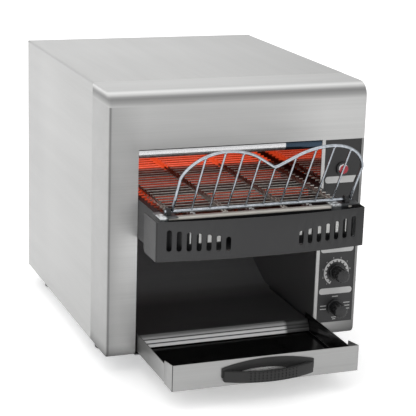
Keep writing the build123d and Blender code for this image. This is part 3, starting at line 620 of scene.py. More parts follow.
# A colour is red, green and blue, or a colour setting's name and what it is multiplied by.
PLAIN_FINISHES = {
    "rear_steel": (brushed_steel, ("steel", 0.85), (2.0, 260.0, 420.0), (0.4, 0.55)),
    "reflector_steel": (brushed_steel, (0.16, 0.14, 0.13), (3.0, 260.0, 260.0), (0.25, 0.4), 0.9),
    # Painted dark reflection lines on the tray panel's rounded upright corners
    "tray_corner": (brushed_steel, (0.07, 0.07, 0.072), (300.0, 300.0, 3.0), (0.4, 0.5), 0.8),
    "shaft_steel": (brushed_steel, (0.4, 0.4, 0.4), (4.0, 300.0, 300.0), (0.25, 0.4), 1.0),
    "bush_bronze": (brushed_steel, (0.42, 0.26, 0.1), (200.0, 200.0, 200.0), (0.3, 0.45), 1.0),
    "rail_steel": (painted, (0.035, 0.035, 0.037), 0.4, 500.0, 0.1, 0.4),
    "print_white": (painted, (0.58, 0.58, 0.575), 0.5, 900.0, 0.05),
    "clip_black": (painted, (0.005, 0.005, 0.006), 0.5, 600.0, 0.1),
    # Painted dark reflection lines on the guard's rounded upright corners
    "guard_corner": (painted, ("guard", 0.3), 0.5, 1100.0, 0.1),
    "tray_black": (painted, (0.003, 0.003, 0.003), 0.12, 260.0, 0.02),
    "pit_black": (painted, (0.002, 0.002, 0.002), 0.6, 900.0, 0.05),
    "knob_black": (painted, (0.010, 0.010, 0.011), 0.28, 800.0, 0.06),
    "ring_black": (painted, (0.012, 0.012, 0.013), 0.3, 600.0, 0.05),
    "foot_rubber": (painted, (0.018, 0.018, 0.018), 0.75, 700.0, 0.35),
    "gland_nylon": (painted, (0.02, 0.02, 0.02), 0.5, 600.0, 0.2),
    "motor_case": (painted, (0.16, 0.17, 0.18), 0.45, 600.0, 0.2, 0.5),
}


def fascia_steel(colours):
    """Grained front sheet with painted light and shade: a painted highlight over a painted dark reflection
    along its big bend, painted dark lines at its upright corners, painted shade towards the bottom and the
    right-hand edge, and painted light on the strip left of the opening.
    """
    colour = darker(colours.steel, 1.6)
    finish = brushed_steel("fascia_steel", colour, (2.0, 260.0, 420.0), (0.46, 0.58), 0.6)
    x, z = finish.axis("X"), finish.axis("Z")
    # front: painted dark reflection lines at both upright corners, and the face painted lighter towards the
    # right
    front = finish.tone(x, (
        (-0.1850, 0.51), (-0.1846, 0.19), (-0.1826, 0.20), (-0.1812, 0.44), (-0.135, 0.55),
        (0.060, 0.565), (0.125, 0.625), (0.1835, 0.60), (0.1850, 0.42),
    ))
    # top: painted shade, darker towards the right
    top = finish.tone(x, ((-0.1850, 0.63), (0.0, 0.61), (0.1850, 0.52)))
    # bend: a painted highlight near the top of the big bend, with a painted dark reflection below it
    bend = finish.tone(z, (
        (0.3660, 0.57), (0.3684, 0.49), (0.3712, 0.38), (0.3760, 0.26), (0.3785, 0.34),
        (0.3810, 0.62), (0.3833, 0.84), (0.3850, 0.66), (0.3860, 0.60),
    ))
    # low: painted shade, darker towards the bottom bend
    low = finish.tone(z, (
        (0.0220, 0.28), (0.0260, 0.37), (0.0310, 0.58), (0.0400, 0.83), (0.1000, 0.98), (0.3000, 1.0),
    ))
    # edges: painted light on the strip left of the opening and painted shade towards the right-hand edge,
    # both below the opening's top
    edges = finish.tone(x, (
        (-0.1850, 1.0), (-0.1780, 1.10), (-0.1680, 1.32), (-0.1560, 1.52), (-0.1439, 1.62),
        (0.1200, 1.0), (0.1803, 0.45), (0.1850, 0.43),
    ))
    face = finish.mix(finish.spread(z, 0.3662, 0.3664), front, bend)
    face = finish.mix(finish.spread(z, 0.3850, 0.3858), face, top)
    left = finish.mix(finish.spread(z, 0.2500, 0.3080), edges, WHITE)
    right = finish.mix(finish.spread(z, 0.3081, 0.3085), edges, WHITE)
    finish.tint(face, low, finish.mix(finish.spread(x, 0.120, 0.121), left, right))
    return finish


def cover_steel(colours):
    finish = brushed_steel("cover_steel", darker(colours.steel, 1.2), (300.0, 2.0, 420.0), (0.34, 0.48))
    # Painted light and shade: the top, the left side and the right side each get a different grey, darkest
    # on the right, and the cover is a little darker below the top
    side = finish.tone(finish.axis("X"), ((-0.1850, 0.74), (-0.1800, 0.82), (0.0, 0.78), (0.1850, 0.65)))
    high = finish.tone(finish.axis("Z"), ((0.0220, 0.96), (0.2000, 0.92), (0.3500, 1.0)))
    finish.tint(side, high)
    return finish


def base_steel(colours):
    """Galvanised plate with its spangle."""
    finish = Finish("base_steel", (0.42, 0.43, 0.44), 0.42, 0.8)
    cells = finish.add("ShaderNodeTexVoronoi")
    cells.inputs["Scale"].default_value = 90.0
    finish.links.new(finish.place((1, 1, 1)), cells.inputs["Vector"])
    spangle = finish.spread(cells.outputs["Distance"], 0.0, 0.8)
    finish.paint(finish.mix(spangle, (0.34, 0.35, 0.36), (0.5, 0.51, 0.52)))
    finish.bump(cells.outputs["Distance"], 0.05)
    return finish


def lip_steel(colours):
    """Polished strip: bright, with a painted dark reflection over the end that faces the control side."""
    finish = brushed_steel("lip_steel", (0.70, 0.70, 0.71), (1.0, 24.0, 24.0), (0.2, 0.28), 0.9)
    # Painted dark reflection beyond this line, towards the control side
    finish.overlay(finish.spread(finish.axis("X"), 0.0655, 0.0665), (0.035, 0.055, 0.08))
    return finish


def liner_steel(colours):
    """Inner walls, darkened by heat above the belt and by shade below it."""
    finish = brushed_steel("liner_steel", (0.62, 0.56, 0.54), (260.0, 3.0, 300.0), (0.03, 0.07), 1.0)
    high = finish.spread(finish.axis("Z"), 0.17, 0.20, smooth=True)
    finish.paint(finish.mix(high, (0.42, 0.42, 0.425), finish.painted_with()))
    finish.gloss(finish.spread(finish.axis("Z"), 0.17, 0.20, 0.45, 0.05))
    return finish


def chute_steel(colours):
    """Dark slide, painted darker towards the front; its ribbed lip has painted highlights on the ribs with
    painted shade lines between them, as far as the control side's painted shade.
    """
    finish = brushed_steel("chute_steel", (0.56, 0.56, 0.565), (3.0, 200.0, 200.0), (0.35, 0.45), 0.4)
    x, y, z = finish.axis("X"), finish.axis("Y"), finish.axis("Z")
    # Painted light and shade: darker towards the front, lighter towards the back
    finish.tint(finish.tone(y, ((-0.126, 0.10), (-0.02, 0.22), (0.036, 0.60), (0.26, 1.0))))
    # Painted highlights on the lip's ribs, with painted shade lines between them
    rib_light_and_shade = finish.tone(z, (
        (0.0310, 0.62), (0.0345, 0.70), (0.0352, 0.03), (0.0360, 0.03), (0.0367, 0.66),
        (0.0395, 0.62), (0.0402, 0.04), (0.0410, 0.04), (0.0417, 0.36), (0.0450, 0.30),
    ))
    # Painted shade over the ribs beyond the control side's end
    rib_shade = finish.tone(z, (
        (0.0310, 0.02), (0.0350, 0.10), (0.0358, 0.01), (0.0390, 0.06), (0.0400, 0.01), (0.0430, 0.05),
    ))
    lip = finish.mix(finish.spread(x, 0.0780, 0.0830), rib_light_and_shade, rib_shade)
    finish.overlay(finish.fall(y, -0.1262, -0.1254), lip)
    return finish


def reflector_glow(colours):
    """Dark reflector sheet with painted glow: the heating tubes' light painted in a band along each lower
    tube, fading towards the right, and along its left edge in front.
    """
    finish = painted("reflector_glow", (0.026, 0.017, 0.016), 0.5, 300.0, 0.1)
    x, y = finish.axis("X"), finish.axis("Y")
    total = None
    # Painted glow in a band along each lower tube
    for (tube_y, _), level, reach in zip(LOWER_TUBES, (0.07, 0.95, 1.0), (0.012, 0.018, 0.026)):
        gap = finish.calc("ABSOLUTE", finish.calc("SUBTRACT", y, (tube_y - Y_MIDDLE) * MM))
        band = finish.spread(gap, reach, reach + 0.008, level, 0.0, True)
        total = band if total is None else finish.plus(total, band)
    # The painted glow fades towards the right
    across = finish.tone(x, (
        (-0.1440, 1.0), (-0.0600, 0.95), (0.0000, 0.75), (0.0500, 0.42), (0.1200, 0.22),
    ))
    # Painted glow along the left edge, towards the front
    edge = finish.both(finish.spread(x, -0.126, -0.110, 0.6, 0.0), finish.fall(y, -0.030, -0.010))
    # The painted glow is made patchy
    patches = finish.spread(finish.noise((9.0, 30.0, 3.0), 1.0, 3.0), 0.35, 0.6, 0.5, 0.82, True)
    finish.shine(finish.both(finish.plus(finish.both(total, across), edge), patches), colours.glow)
    return finish


def quartz_glow(colours):
    """Glowing coil seen through its quartz tube."""
    finish = Finish("quartz_glow", (0.25, 0.06, 0.03), 0.25)
    coil = finish.add("ShaderNodeTexWave", wave_type="BANDS", bands_direction="X")
    coil.inputs["Scale"].default_value = 90.0
    coil.inputs["Distortion"].default_value = 0.6
    finish.links.new(finish.place((1, 1, 1)), coil.inputs["Vector"])
    finish.shine(finish.spread(coil.outputs["Fac"], 0.2, 0.8, 0.10, 0.32), colours.glow)
    return finish


def belt_wire(colours):
    """Belt wire, straw-coloured and dulled by heat, with the heaters' light as painted glow on its rear part
    and on its left tips.
    """
    finish = bright_wire("belt_wire", (0.42, 0.40, 0.37), 0.32, (0.58, 0.56, 0.52))
    y = finish.axis("Y")
    # Painted glow over the belt's rear part
    rear_glow = finish.tone(y, ((0.0060, 0.0), (0.0110, 0.9), (0.0400, 1.0), (0.1500, 0.8), (0.1900, 0.0)))
    # Painted glow on the left tips, over the front half of the belt
    front = finish.tone(y, (
        (-0.2400, 0.0), (-0.1950, 0.03), (-0.1500, 0.30), (-0.0900, 0.55), (0.0000, 0.30),
    ))
    # The rear painted glow shows only on the upper run
    upper = finish.spread(finish.axis("Z"), 0.2350, 0.2380, 0.0, 0.62)
    # Left tips: painted dark under their painted glow
    edge = finish.fall(finish.axis("X"), -0.1310, -0.1280)
    finish.overlay(edge, (0.07, 0.045, 0.035))
    finish.shine(finish.plus(finish.both(rear_glow, upper), finish.both(front, edge)), colours.glow)
    return finish


def nose_paint(colours):
    """Strip with painted light and shade: pale along its top, with painted highlights in upright stripes
    behind the slots, and painted black shade elsewhere.
    """
    finish = painted("nose_paint", (0.52, 0.50, 0.46), 0.35, 700.0, 0.1, 0.3)
    x, z = finish.axis("X"), finish.axis("Z")
    # Painted highlights behind the guard's slots
    slot_highlights = None
    for left, right in NOSE_SLOT_HIGHLIGHTS:
        slot_highlight = finish.between(x, left, right, 0.0004)
        slot_highlights = slot_highlight if slot_highlights is None else finish.plus(slot_highlights, slot_highlight)
    behind_slots = finish.both(slot_highlights, finish.between(z, 0.2082, 0.2355, 0.001))
    pale = finish.plus(behind_slots, finish.spread(z, 0.2412, 0.2420))
    strip = finish.mix(finish.spread(z, 0.2300, 0.2400), (0.92, 0.92, 0.90), finish.painted_with())
    # Painted black shade wherever no highlight and no pale top is painted
    finish.paint(finish.mix(pale, (0.004, 0.004, 0.005), strip))
    return finish


def guard_paint(colours):
    finish = painted("guard_paint", tuple(colours.guard), 0.42, 1100.0, 0.2)
    finish.sockets["Specular IOR Level"].default_value = 0.35
    # Painted light and shade across the guard: lighter to the left, darker to the right
    across = ((-0.1520, 1.30), (-0.0500, 1.10), (0.0500, 0.90), (0.1700, 0.62))
    finish.tint(finish.tone(finish.axis("X"), across))
    return finish


def plate_paint(colours):
    finish = painted("plate_paint", tuple(colours.plate), 0.5, 1100.0, 0.12)
    # Painted shade, darker towards the top
    finish.tint(finish.tone(finish.axis("Z"), ((0.0400, 1.0), (0.1500, 1.0), (0.2400, 0.55))))
    return finish


def rack_chrome(colours):
    """Chromed wire: bright along its middle, with a painted dark reflection towards its edges."""
    finish = bright_wire("rack_chrome", (0.38, 0.41, 0.44), 0.12, (0.52, 0.55, 0.60))
    facing = finish.add("ShaderNodeLayerWeight")
    facing.inputs["Blend"].default_value = 0.5
    # Painted dark reflection where the wire turns away from the view
    finish.overlay(finish.spread(facing.outputs["Facing"], 0.25, 0.7, smooth=True), (0.06, 0.075, 0.095))
    return finish


def bracket_chrome(colours):
    """Bright corner plates with painted glints, and painted shade over their flanges and inner ends."""
    finish = brushed_steel("bracket_chrome", (0.86, 0.90, 0.92), (120.0, 30.0, 120.0), (0.3, 0.42), 0.1)
    # Painted shade: the brackets stay bright only on their top faces near the front, over part of their
    # width
    finish.tint(
        finish.tone(finish.axis("X"), (
            (-0.1519, 1.0), (-0.1420, 1.0), (-0.1405, 0.12), (0.0860, 0.12), (0.0875, 0.85),
            (0.1005, 1.0), (0.1025, 0.06), (0.1290, 0.06),
        )),
        finish.tone(finish.axis("Y"), ((-0.2480, 1.0), (-0.2300, 1.0), (-0.2270, 0.25), (-0.2180, 0.20))),
        finish.tone(finish.axis("Z"), ((0.2360, 0.10), (0.2440, 0.14), (0.2456, 1.0), (0.2470, 1.0))),
    )
    # Painted glints: dark mottling through the bright colour
    glints = finish.spread(finish.noise((1, 1, 1), 230.0, 2.0), 0.40, 0.56, 0.25, 1.0)
    finish.paint(finish.mix(glints, (0.03, 0.035, 0.04), finish.painted_with()))
    return finish


def tray_steel(colours):
    """Grained sheet with painted shade, darker towards the back, and a painted highlight where the handle's
    gap bares it.
    """
    colour = darker(colours.steel, 0.65)
    finish = brushed_steel("tray_steel", colour, (2.0, 300.0, 420.0), (0.34, 0.46), 0.8)
    x, y, z = finish.axis("X"), finish.axis("Y"), finish.axis("Z")
    # Painted shade, darker towards the back
    finish.tint(finish.tone(y, ((-0.2850, 1.0), (-0.2540, 0.94), (-0.1900, 0.52), (-0.1300, 0.28))))
    # Painted highlight on the front sheet inside the handle's gap
    wide = finish.both(finish.spread(x, -0.0500, -0.0480), finish.fall(x, 0.0190, 0.0200))
    gap_highlight = finish.both(wide, finish.between(z, 0.0430, 0.0505, 0.0005))
    finish.overlay(finish.both(gap_highlight, finish.fall(y, -0.2844, -0.2840)), (1.0, 1.0, 0.99))
    return finish


def handle_black(colours):
    finish = painted("handle_black", (0.021, 0.021, 0.021), 0.5, 900.0, 0.12)
    finish.sockets["Specular IOR Level"].default_value = 0.32
    return finish


def button_red(colours):
    """Red cap with a painted highlight along its upper rim."""
    finish = painted("button_red", tuple(colours.button), 0.25, 500.0, 0.04)
    x = finish.plus(finish.axis("X"), -PLATE_MID * MM)
    z = finish.plus(finish.axis("Z"), -RESET_Z * MM)
    # Painted highlight: a pale arc on the rim's upper side
    away = finish.calc("POWER", finish.plus(finish.both(x, x), finish.both(z, z)), 0.5)
    upper = finish.spread(finish.calc("SUBTRACT", finish.plus(z, z), x), 0.0010, 0.0060)
    finish.overlay(finish.both(finish.spread(away, 0.0060, 0.0062), upper), (0.86, 0.84, 0.84))
    return finish


SHADED_FINISHES = (
    fascia_steel, cover_steel, base_steel, lip_steel, liner_steel, chute_steel, reflector_glow,
    quartz_glow, belt_wire, nose_paint, guard_paint, plate_paint, rack_chrome, bracket_chrome,
    tray_steel, handle_black, button_red,
)
FINISHES = {make.__name__: make for make in SHADED_FINISHES}
MADE = {}


def finish_named(name):
    """One of the toaster's materials, made when it is first asked for."""
    if name not in MADE:
        colours = bpy.context.scene.toaster_finishes
        if name in FINISHES:
            MADE[name] = FINISHES[name](colours).material
        else:
            kind, colour, *rest = PLAIN_FINISHES[name]
            if isinstance(colour[0], str):
                colour = darker(getattr(colours, colour[0]), colour[1])
            MADE[name] = kind(name, colour, *rest).material
    return MADE[name]


# ---- settings ----


def length(name, about, default):
    return FloatProperty(
        name=name, description=about, default=default, min=0.0,
        unit="LENGTH", subtype="DISTANCE", precision=5,
    )


def colour(name, about, default):
    return FloatVectorProperty(
        name=name, description=about, default=default, min=0.0, max=1.0, size=3, subtype="COLOR"
    )


def light(name, about, default, unit="NONE"):
    return FloatProperty(name=name, description=about, default=default, min=0.0, unit=unit)


class ToasterSizes(bpy.types.PropertyGroup):
    top_bend: length("Top bend", "Radius of the big bend between the fascia's front and top", 0.020)
    low_bend: length("Lower bend", "Radius of the bend along the fascia's lower edge", 0.009)
    side_bend: length("Side bend", "Radius of the fascia's upright corners", 0.003)
    cover_bend: length("Cover bend", "Radius where the cover folds from its sides to its top", 0.0025)
    belt_wire: length("Belt wire", "Radius of the conveyor belt's wires", 0.0011)
    rack_wire: length("Rack wire", "Radius of the rack's outer wire", 0.0021)
    rack_bar: length("Rack bar", "Radius of the rack's inner bars", 0.0014)
    rack_pivot: length("Rack pivot", "Radius of the rod that the rack turns on", 0.0023)
    slot_half: length("Guard slot", "Half the width of the guard's slots", 0.0034)
    knob: length("Knob", "Radius of the knobs' grips", 0.010)
    dimple: length("Dimple", "Radius of the dimples in the tray's handle", 0.00108)
    slots: IntProperty(
        name="Slots", description="Slots in each group of the guard", default=7, min=1, max=7
    )


class ToasterFinishes(bpy.types.PropertyGroup):
    steel: colour("Stainless", "Brushed stainless steel of the cabinet", (0.56, 0.56, 0.555))
    guard: colour("Guard", "Powder paint of the slotted guard", (0.030, 0.030, 0.031))
    plate: colour("Control plate", "Paint of the control plate", (0.021, 0.021, 0.022))
    # Also the colour of the painted glow on the reflector and the belt
    glow: colour("Glow", "Glow of the heating tubes", (1.0, 0.085, 0.022))
    button: colour("Reset button", "Cap of the reset button", (0.42, 0.012, 0.03))


class ToasterStage(bpy.types.PropertyGroup):
    key: light("Top lamp", "Power of the large lamp above", 9.0, "POWER")
    side: light("Side lamp", "Power of the lamp on the left", 7.0, "POWER")
    room: light("Room light", "Even light from all round", 0.88)


# ---- cabinet ----


class TOASTER_OT_case_front(bpy.types.Operator):
    """Front shell with its big top bend, the opening and the window for the control plate"""

    bl_idname = "toaster.case_front"
    bl_label = "Case Front"

    def execute(self, context):
        sizes = context.scene.toaster_sizes
        low, high = at(-CASE_HALF, 0, CASE_LOW), at(CASE_HALF, FASCIA_DEPTH, CASE_HIGH)
        shell = block("case_front", low, high)
        edit(shell)
        round_edges(shell, placed(y=low.y, z=high.z), sizes.top_bend, 12)
        round_edges(shell, placed(y=low.y, z=low.z), sizes.low_bend, 7)
        outer = lambda a, b: near(a.x, b.x) and near(abs(a.x), high.x) and not placed(y=high.y)(a, b)
        round_edges(shell, outer, sizes.side_bend, 4)
        remove_faces(shell, lambda c, n: n.y > 0.9)
        done()
        give_wall(shell, SHEET * MM)
        half, under = CASE_HALF - SHEET, CASE_LOW + SHEET + 1
        cut_away(
            shell,
            block("cut", at(OPEN_LEFT, -1, CASE_LOW - 1), at(OPEN_RIGHT, 40, OPEN_TOP)),
            block("cut", at(PLATE_LEFT, -1, PLATE_LOW), at(PLATE_RIGHT, 3, PLATE_HIGH)),
            block("cut", at(-half, UNDER_START, CASE_LOW - 1), at(half, FASCIA_DEPTH + 1, under)),
        )
        edge_round(shell, 0.00035, 2)
        ready(shell, "cabinet", "fascia_steel", "brushed_case", "fascia")
        return DONE


class TOASTER_OT_case_cover(bpy.types.Operator):
    """Sides and top of the cabinet: one sheet, folded twice, with its foot flanges"""

    bl_idname = "toaster.case_cover"
    bl_label = "Case Cover"

    def execute(self, context):
        low = at(-CASE_HALF, FASCIA_DEPTH + 0.5, CASE_LOW)
        high = at(CASE_HALF, CASE_BACK - SHEET, CASE_HIGH)
        cover = block("case_cover", low, high)
        edit(cover)
        remove_faces(cover, lambda c, n: abs(n.y) > 0.9 or n.z < -0.9)
        for side in (-1, 1):
            pull_edges(cover, placed(x=side * high.x, z=low.z), (-side * FLANGE * MM, 0, 0))
        top = lambda a, b: placed(z=high.z)(a, b) and near(a.x, b.x)
        round_edges(cover, top, context.scene.toaster_sizes.cover_bend, 4)
        bottom = lambda a, b: placed(z=low.z)(a, b) and near(a.x, b.x) and near(abs(a.x), high.x)
        round_edges(cover, bottom, 0.0015, 3)
        done()
        give_wall(cover, SHEET * MM)
        edge_round(cover, 0.00035, 2)
        ready(cover, "cabinet", "cover_steel", "brushed_case", "outer_wrap")
        return DONE


class TOASTER_OT_feet(bpy.types.Operator):
    """Four rubber feet, turned with a rounded lower edge"""

    bl_idname = "toaster.feet"
    bl_label = "Feet"

    def execute(self, context):
        nothing_selected()
        height = CASE_LOW * MM
        bpy.ops.mesh.primitive_cone_add(
            vertices=32, radius1=FOOT_LOW_R * MM, radius2=FOOT_TOP_R * MM, depth=height,
            location=(0, 0, height / 2),
        )
        foot = named("foot_front_left")
        edit(foot)
        pick(foot, "faces", lambda c, n: n.z < -0.9)
        bpy.ops.mesh.inset(thickness=0.004)
        bpy.ops.mesh.inset(thickness=0.0012)
        bpy.ops.transform.translate(value=(0, 0, 0.002))
        round_edges(foot, lambda a, b: all(near(p.z, 0) and p.xy.length > 0.012 for p in (a, b)), 0.0015, 3)
        done()
        edge_round(foot, 0.0003, 2, 50)
        for name, (x, y) in FEET.items():
            twin = copy_of(foot, f"rubber_foot_{name}")
            shift_mesh(twin, at(x, y, 0))
            ready(twin, "cabinet", "foot_rubber", "foot_rubber", f"foot_{name}")
        delete(foot)
        return DONE


class TOASTER_OT_lips(bpy.types.Operator):
    """Polished strip under the header, and the chute with its rolled front lip"""

    bl_idname = "toaster.lips"
    bl_label = "Lips and Chute"

    def execute(self, context):
        top = OPEN_TOP - 0.6
        fold = [(40, top), (1.6, top), (1.6, OPEN_TOP - 8), (6, OPEN_TOP - 12)]
        lip = folded_sheet("header_lip", OPEN_LEFT + 0.4, OPEN_RIGHT - 0.4, fold, {2: 1.2, 1: 3.4}, 0.8)
        edge_round(lip, 0.00015, 1)
        ready(lip, "cabinet", "lip_steel", "polished_steel", "opening_lip")
        slide = [*CHUTE_FRONT, *arc_points(CHUTE_FRONT[-1], *CHUTE_ARC, 14)]
        chute = folded_sheet("chute_slide", OPEN_LEFT + 0.3, OPEN_RIGHT - 0.3, slide, {2: 3.0, 1: 2.5}, 1.0)
        clear, back = 1.8, TRAY_BACK + 4
        cut_away(
            chute,
            block("cut", at(-200, -5, 0), at(TRAY_LEFT + clear, back, 80)),
            block("cut", at(TRAY_RIGHT - clear, -5, 0), at(200, back, 80)),
        )
        outward(chute)
        shade(chute)
        ready(chute, "cabinet", "chute_steel", "chute_steel", "chute")
        return DONE


# ---- conveyor ----


class TOASTER_OT_heaters(bpy.types.Operator):
    """Quartz heating tubes with their square ends and flat tabs"""

    bl_idname = "toaster.heaters"
    bl_label = "Heating Tubes"

    def execute(self, context):
        left, right = OPEN_LEFT + 6, OPEN_RIGHT - 6
        tube = round_bar("tube", at(left, 0, 0), at(right, 0, 0), 0.006, 24)
        outer_left, outer_right = OPEN_LEFT - TUBE_END, OPEN_RIGHT + TUBE_END
        ends = []
        for name, x0, x1, half, high, width, segments in (
            ("end", outer_left, left, 6.5, 6.5, 0.0012, 3),
            ("end", right, outer_right, 6.5, 6.5, 0.0012, 3),
            ("tab", OPEN_LEFT - TUBE_TAB, outer_left, 3.15, 0.4, 0.0002, 1),
            ("tab", outer_right, OPEN_RIGHT + TUBE_TAB, 3.15, 0.4, 0.0002, 1),
        ):
            end = block(name, at(x0, -half, -high), at(x1, half, high))
            edge_round(end, width, segments)
            ends.append(end)
        shade(tube)
        heater = joined("heater", ends + [tube])
        for row, tubes in (("lower", LOWER_TUBES), ("upper", UPPER_TUBES)):
            for number, (y, z) in enumerate(tubes, 1):
                twin = copy_of(heater, f"heater_{row}_{number}")
                shift_mesh(twin, Vector((0, y * MM, z * MM)))
                ready(twin, "cabinet", "quartz_glow", "tube_glow", f"{row}_tube_{number}")
        delete(heater)
        return DONE


class TOASTER_OT_belt(bpy.types.Operator):
    """Wire belt: each wire is hooked to the next one by four bent links, all round the two shafts"""

    bl_idname = "toaster.belt"
    bl_label = "Wire Belt"

    def strand(self, radius):
        points = [Vector((OPEN_MID - BELT_HALF, 0, 0))]
        for column in LINK_COLUMNS:
            x = OPEN_MID + column
            points += [Vector((x + dx, dy, dz)) for dx, dy, dz in LINK_HOOK]
            points += [Vector((x - dx, dy, dz)) for dx, dy, dz in reversed(LINK_HOOK)]
        points.append(Vector((OPEN_MID + BELT_HALF, 0, 0)))
        wire = bent_wire("strand", [p * MM for p in points], radius, 1)
        shade(wire, 50)
        return wire

    def lay(self, wire, name, places):
        """Copies of the wire, each turned about X and moved to its place, joined into one piece."""
        copies = []
        for number, (y, z, turn) in enumerate(places):
            twin = copy_of(wire, f"{name}_{number}")
            twin.data.transform(Matrix.Translation(at(0, y, z)) @ Matrix.Rotation(radians(turn), 4, "X"))
            copies.append(twin)
        return joined(name, copies)

    def execute(self, context):
        wire = self.strand(context.scene.toaster_sizes.belt_wire)
        low, step = SHAFT_Z - PITCH_R, 360.0 / TEETH
        upper = [(FRONT_SHAFT_Y + PITCH * k, BELT_Z, 0) for k in range(BELT_STEPS)]
        lower = [(REAR_SHAFT_Y - PITCH * k, low, 180) for k in range(BELT_STEPS)]
        upper.append((REAR_SHAFT_Y, BELT_Z, -step / 2))
        lower.append((FRONT_SHAFT_Y, low, 180 - step / 2))
        front, rear = [], []
        for k in range(1, TEETH // 2):
            across, up = PITCH_R * sin(radians(step * k)), PITCH_R * cos(radians(step * k))
            rear.append((REAR_SHAFT_Y + across, SHAFT_Z + up, -step * (k + 0.5)))
            front.append((FRONT_SHAFT_Y - across, SHAFT_Z - up, 180 - step * (k + 0.5)))
        for name, node, places in (
            ("belt_top", "belt_upper_run", upper),
            ("belt_return", "belt_lower_run", lower),
            ("belt_front", "belt_front_turn", front),
            ("belt_rear", "belt_rear_turn", rear),
        ):
            ready(self.lay(wire, name, places), "cabinet", "belt_wire", "belt_wire", node)
        delete(wire)
        return DONE


class TOASTER_OT_guard(bpy.types.Operator):
    """Bowed front guard with its two fans of slots"""

    bl_idname = "toaster.guard"
    bl_label = "Guard"

    def execute(self, context):
        sizes = context.scene.toaster_sizes
        low, high = at(GUARD_LEFT, GUARD_END_Y, GUARD_LOW), at(GUARD_RIGHT, GUARD_END_Y, GUARD_HIGH)
        nothing_selected()
        bpy.ops.mesh.primitive_grid_add(
            x_subdivisions=30, y_subdivisions=1, size=1, location=(low + high) / 2, rotation=(pi / 2, 0, 0)
        )
        bpy.context.object.scale = (high.x - low.x, high.z - low.z, 1)
        guard = named("front_guard")
        middle, half = (low.x + high.x) / 2, (high.x - low.x) / 2
        columns = sorted({round(v.co.x, 7) for v in guard.data.vertices})
        edit(guard)
        for x in columns[1:-1]:
            move_points(guard, placed(x=x), (0, -bow_reach(x - middle, half, GUARD_BOW * MM), 0))
        for end in (columns[0], columns[-1]):
            pull_edges(guard, placed(x=end), (0, (GUARD_FLANGE_Y - GUARD_END_Y) * MM, 0))
        upright = lambda a, b: near(a.x, b.x) and near(abs(a.x - middle), half) and placed(y=low.y)(a, b)
        round_edges(guard, upright, 0.0018, 5)
        pick(guard, "verts", placed(y=at(0, GUARD_FLANGE_Y, 0).y, z=low.z))
        bpy.ops.mesh.bevel(offset=0.007, segments=6, affect="VERTICES", clamp_overlap=False)
        everything()
        bpy.ops.mesh.normals_make_consistent(inside=False)
        done()
        if sum(f.normal.y * f.area for f in guard.data.polygons) > 0:
            edit(guard)
            everything()
            bpy.ops.mesh.flip_normals()
            done()
        give_wall(guard, SHEET * MM)
        cutters = [self.slot(sizes.slot_half, side, k) for side in (-1, 1) for k in range(sizes.slots)]
        cut_away(guard, joined("cut", cutters))
        edge_round(guard, 0.0003, 2, 30)
        ready(guard, "cabinet", ["guard_paint", "guard_corner"], "guard_paint", "guard")
        mark_corners(guard, low.y)
        return DONE

    def slot(self, radius, side, k):
        """One round-ended slot; the outer ones are the longest."""
        x = (GUARD_LEFT + GUARD_RIGHT) / 2 + side * (SLOT_FIRST + SLOT_STEP * k)
        low = SLOT_LOW + SLOT_LOW_STEP * k + radius / MM
        high = SLOT_HIGH + SLOT_HIGH_STEP * k - radius / MM
        pin = round_bar("cut", at(x, -140, low), at(x, -90, low), radius, 24)
        turn_mesh(pin, at(x, 0, low), SLOT_LEAN)
        edit(pin)
        move_points(pin, lambda v: v.z > low * MM, (0, 0, (high - low) * MM))
        done()
        return pin


class TOASTER_OT_nose(bpy.types.Operator):
    """Strip in front of the belt's turn"""

    bl_idname = "toaster.nose"
    bl_label = "Nose Strip"

    def execute(self, context):
        strip = folded_sheet("nose_cover", OPEN_LEFT + 3.0, OPEN_RIGHT - 3.0, NOSE_FOLD, {1: 2.5}, 1.0)
        edge_round(strip, 0.0002, 1)
        ready(strip, "cabinet", "nose_paint", "nose_paint", "nose_strip")
        return DONE


# ---- rack ----


class RackLine:
    """Half of the rack's outline, walked from its foot: the pieces of the way and points along it."""

    def __init__(self):
        x, z, heading = -RACK_HALF, RACK_POST, 0.0
        self.steps = [("run", (0, RACK_POST))]
        self.points = [(-RACK_HALF, 0.0), (x, z)]
        for radius, turn in RACK_BENDS:
            x, z, heading = self.bend(x, z, heading, radius, turn)
        run = -x - VALLEY_R * sin(radians(VALLEY_FALL))
        drop = -run * sin(radians(VALLEY_FALL)) / cos(radians(VALLEY_FALL))
        self.steps.append(("run", (run, drop)))
        x, z = x + run, z + drop
        self.points.append((x, z))
        self.bend(x, z, heading, VALLEY_R, -VALLEY_FALL)

    def bend(self, x, z, heading, radius, turn):
        """Turn right by turn degrees (left if negative) round a circle."""
        side = radius if turn > 0 else -radius
        cx, cz = x + side * cos(radians(heading)), z - side * sin(radians(heading))
        self.steps.append(("bend", (cx, cz, turn)))
        for k in range(1, 25):
            now = radians(heading + turn * k / 24)
            self.points.append((cx - side * cos(now), cz + side * sin(now)))
        return *self.points[-1], heading + turn

    def height(self, x):
        """Height of the outer wire above the pivot at one place across."""
        x = -abs(x)
        for (xa, za), (xb, zb) in zip(self.points, self.points[1:]):
            if xa <= x <= xb and xb > xa:
                return za + (zb - za) * (x - xa) / (xb - xa)
        return self.points[-1][1]


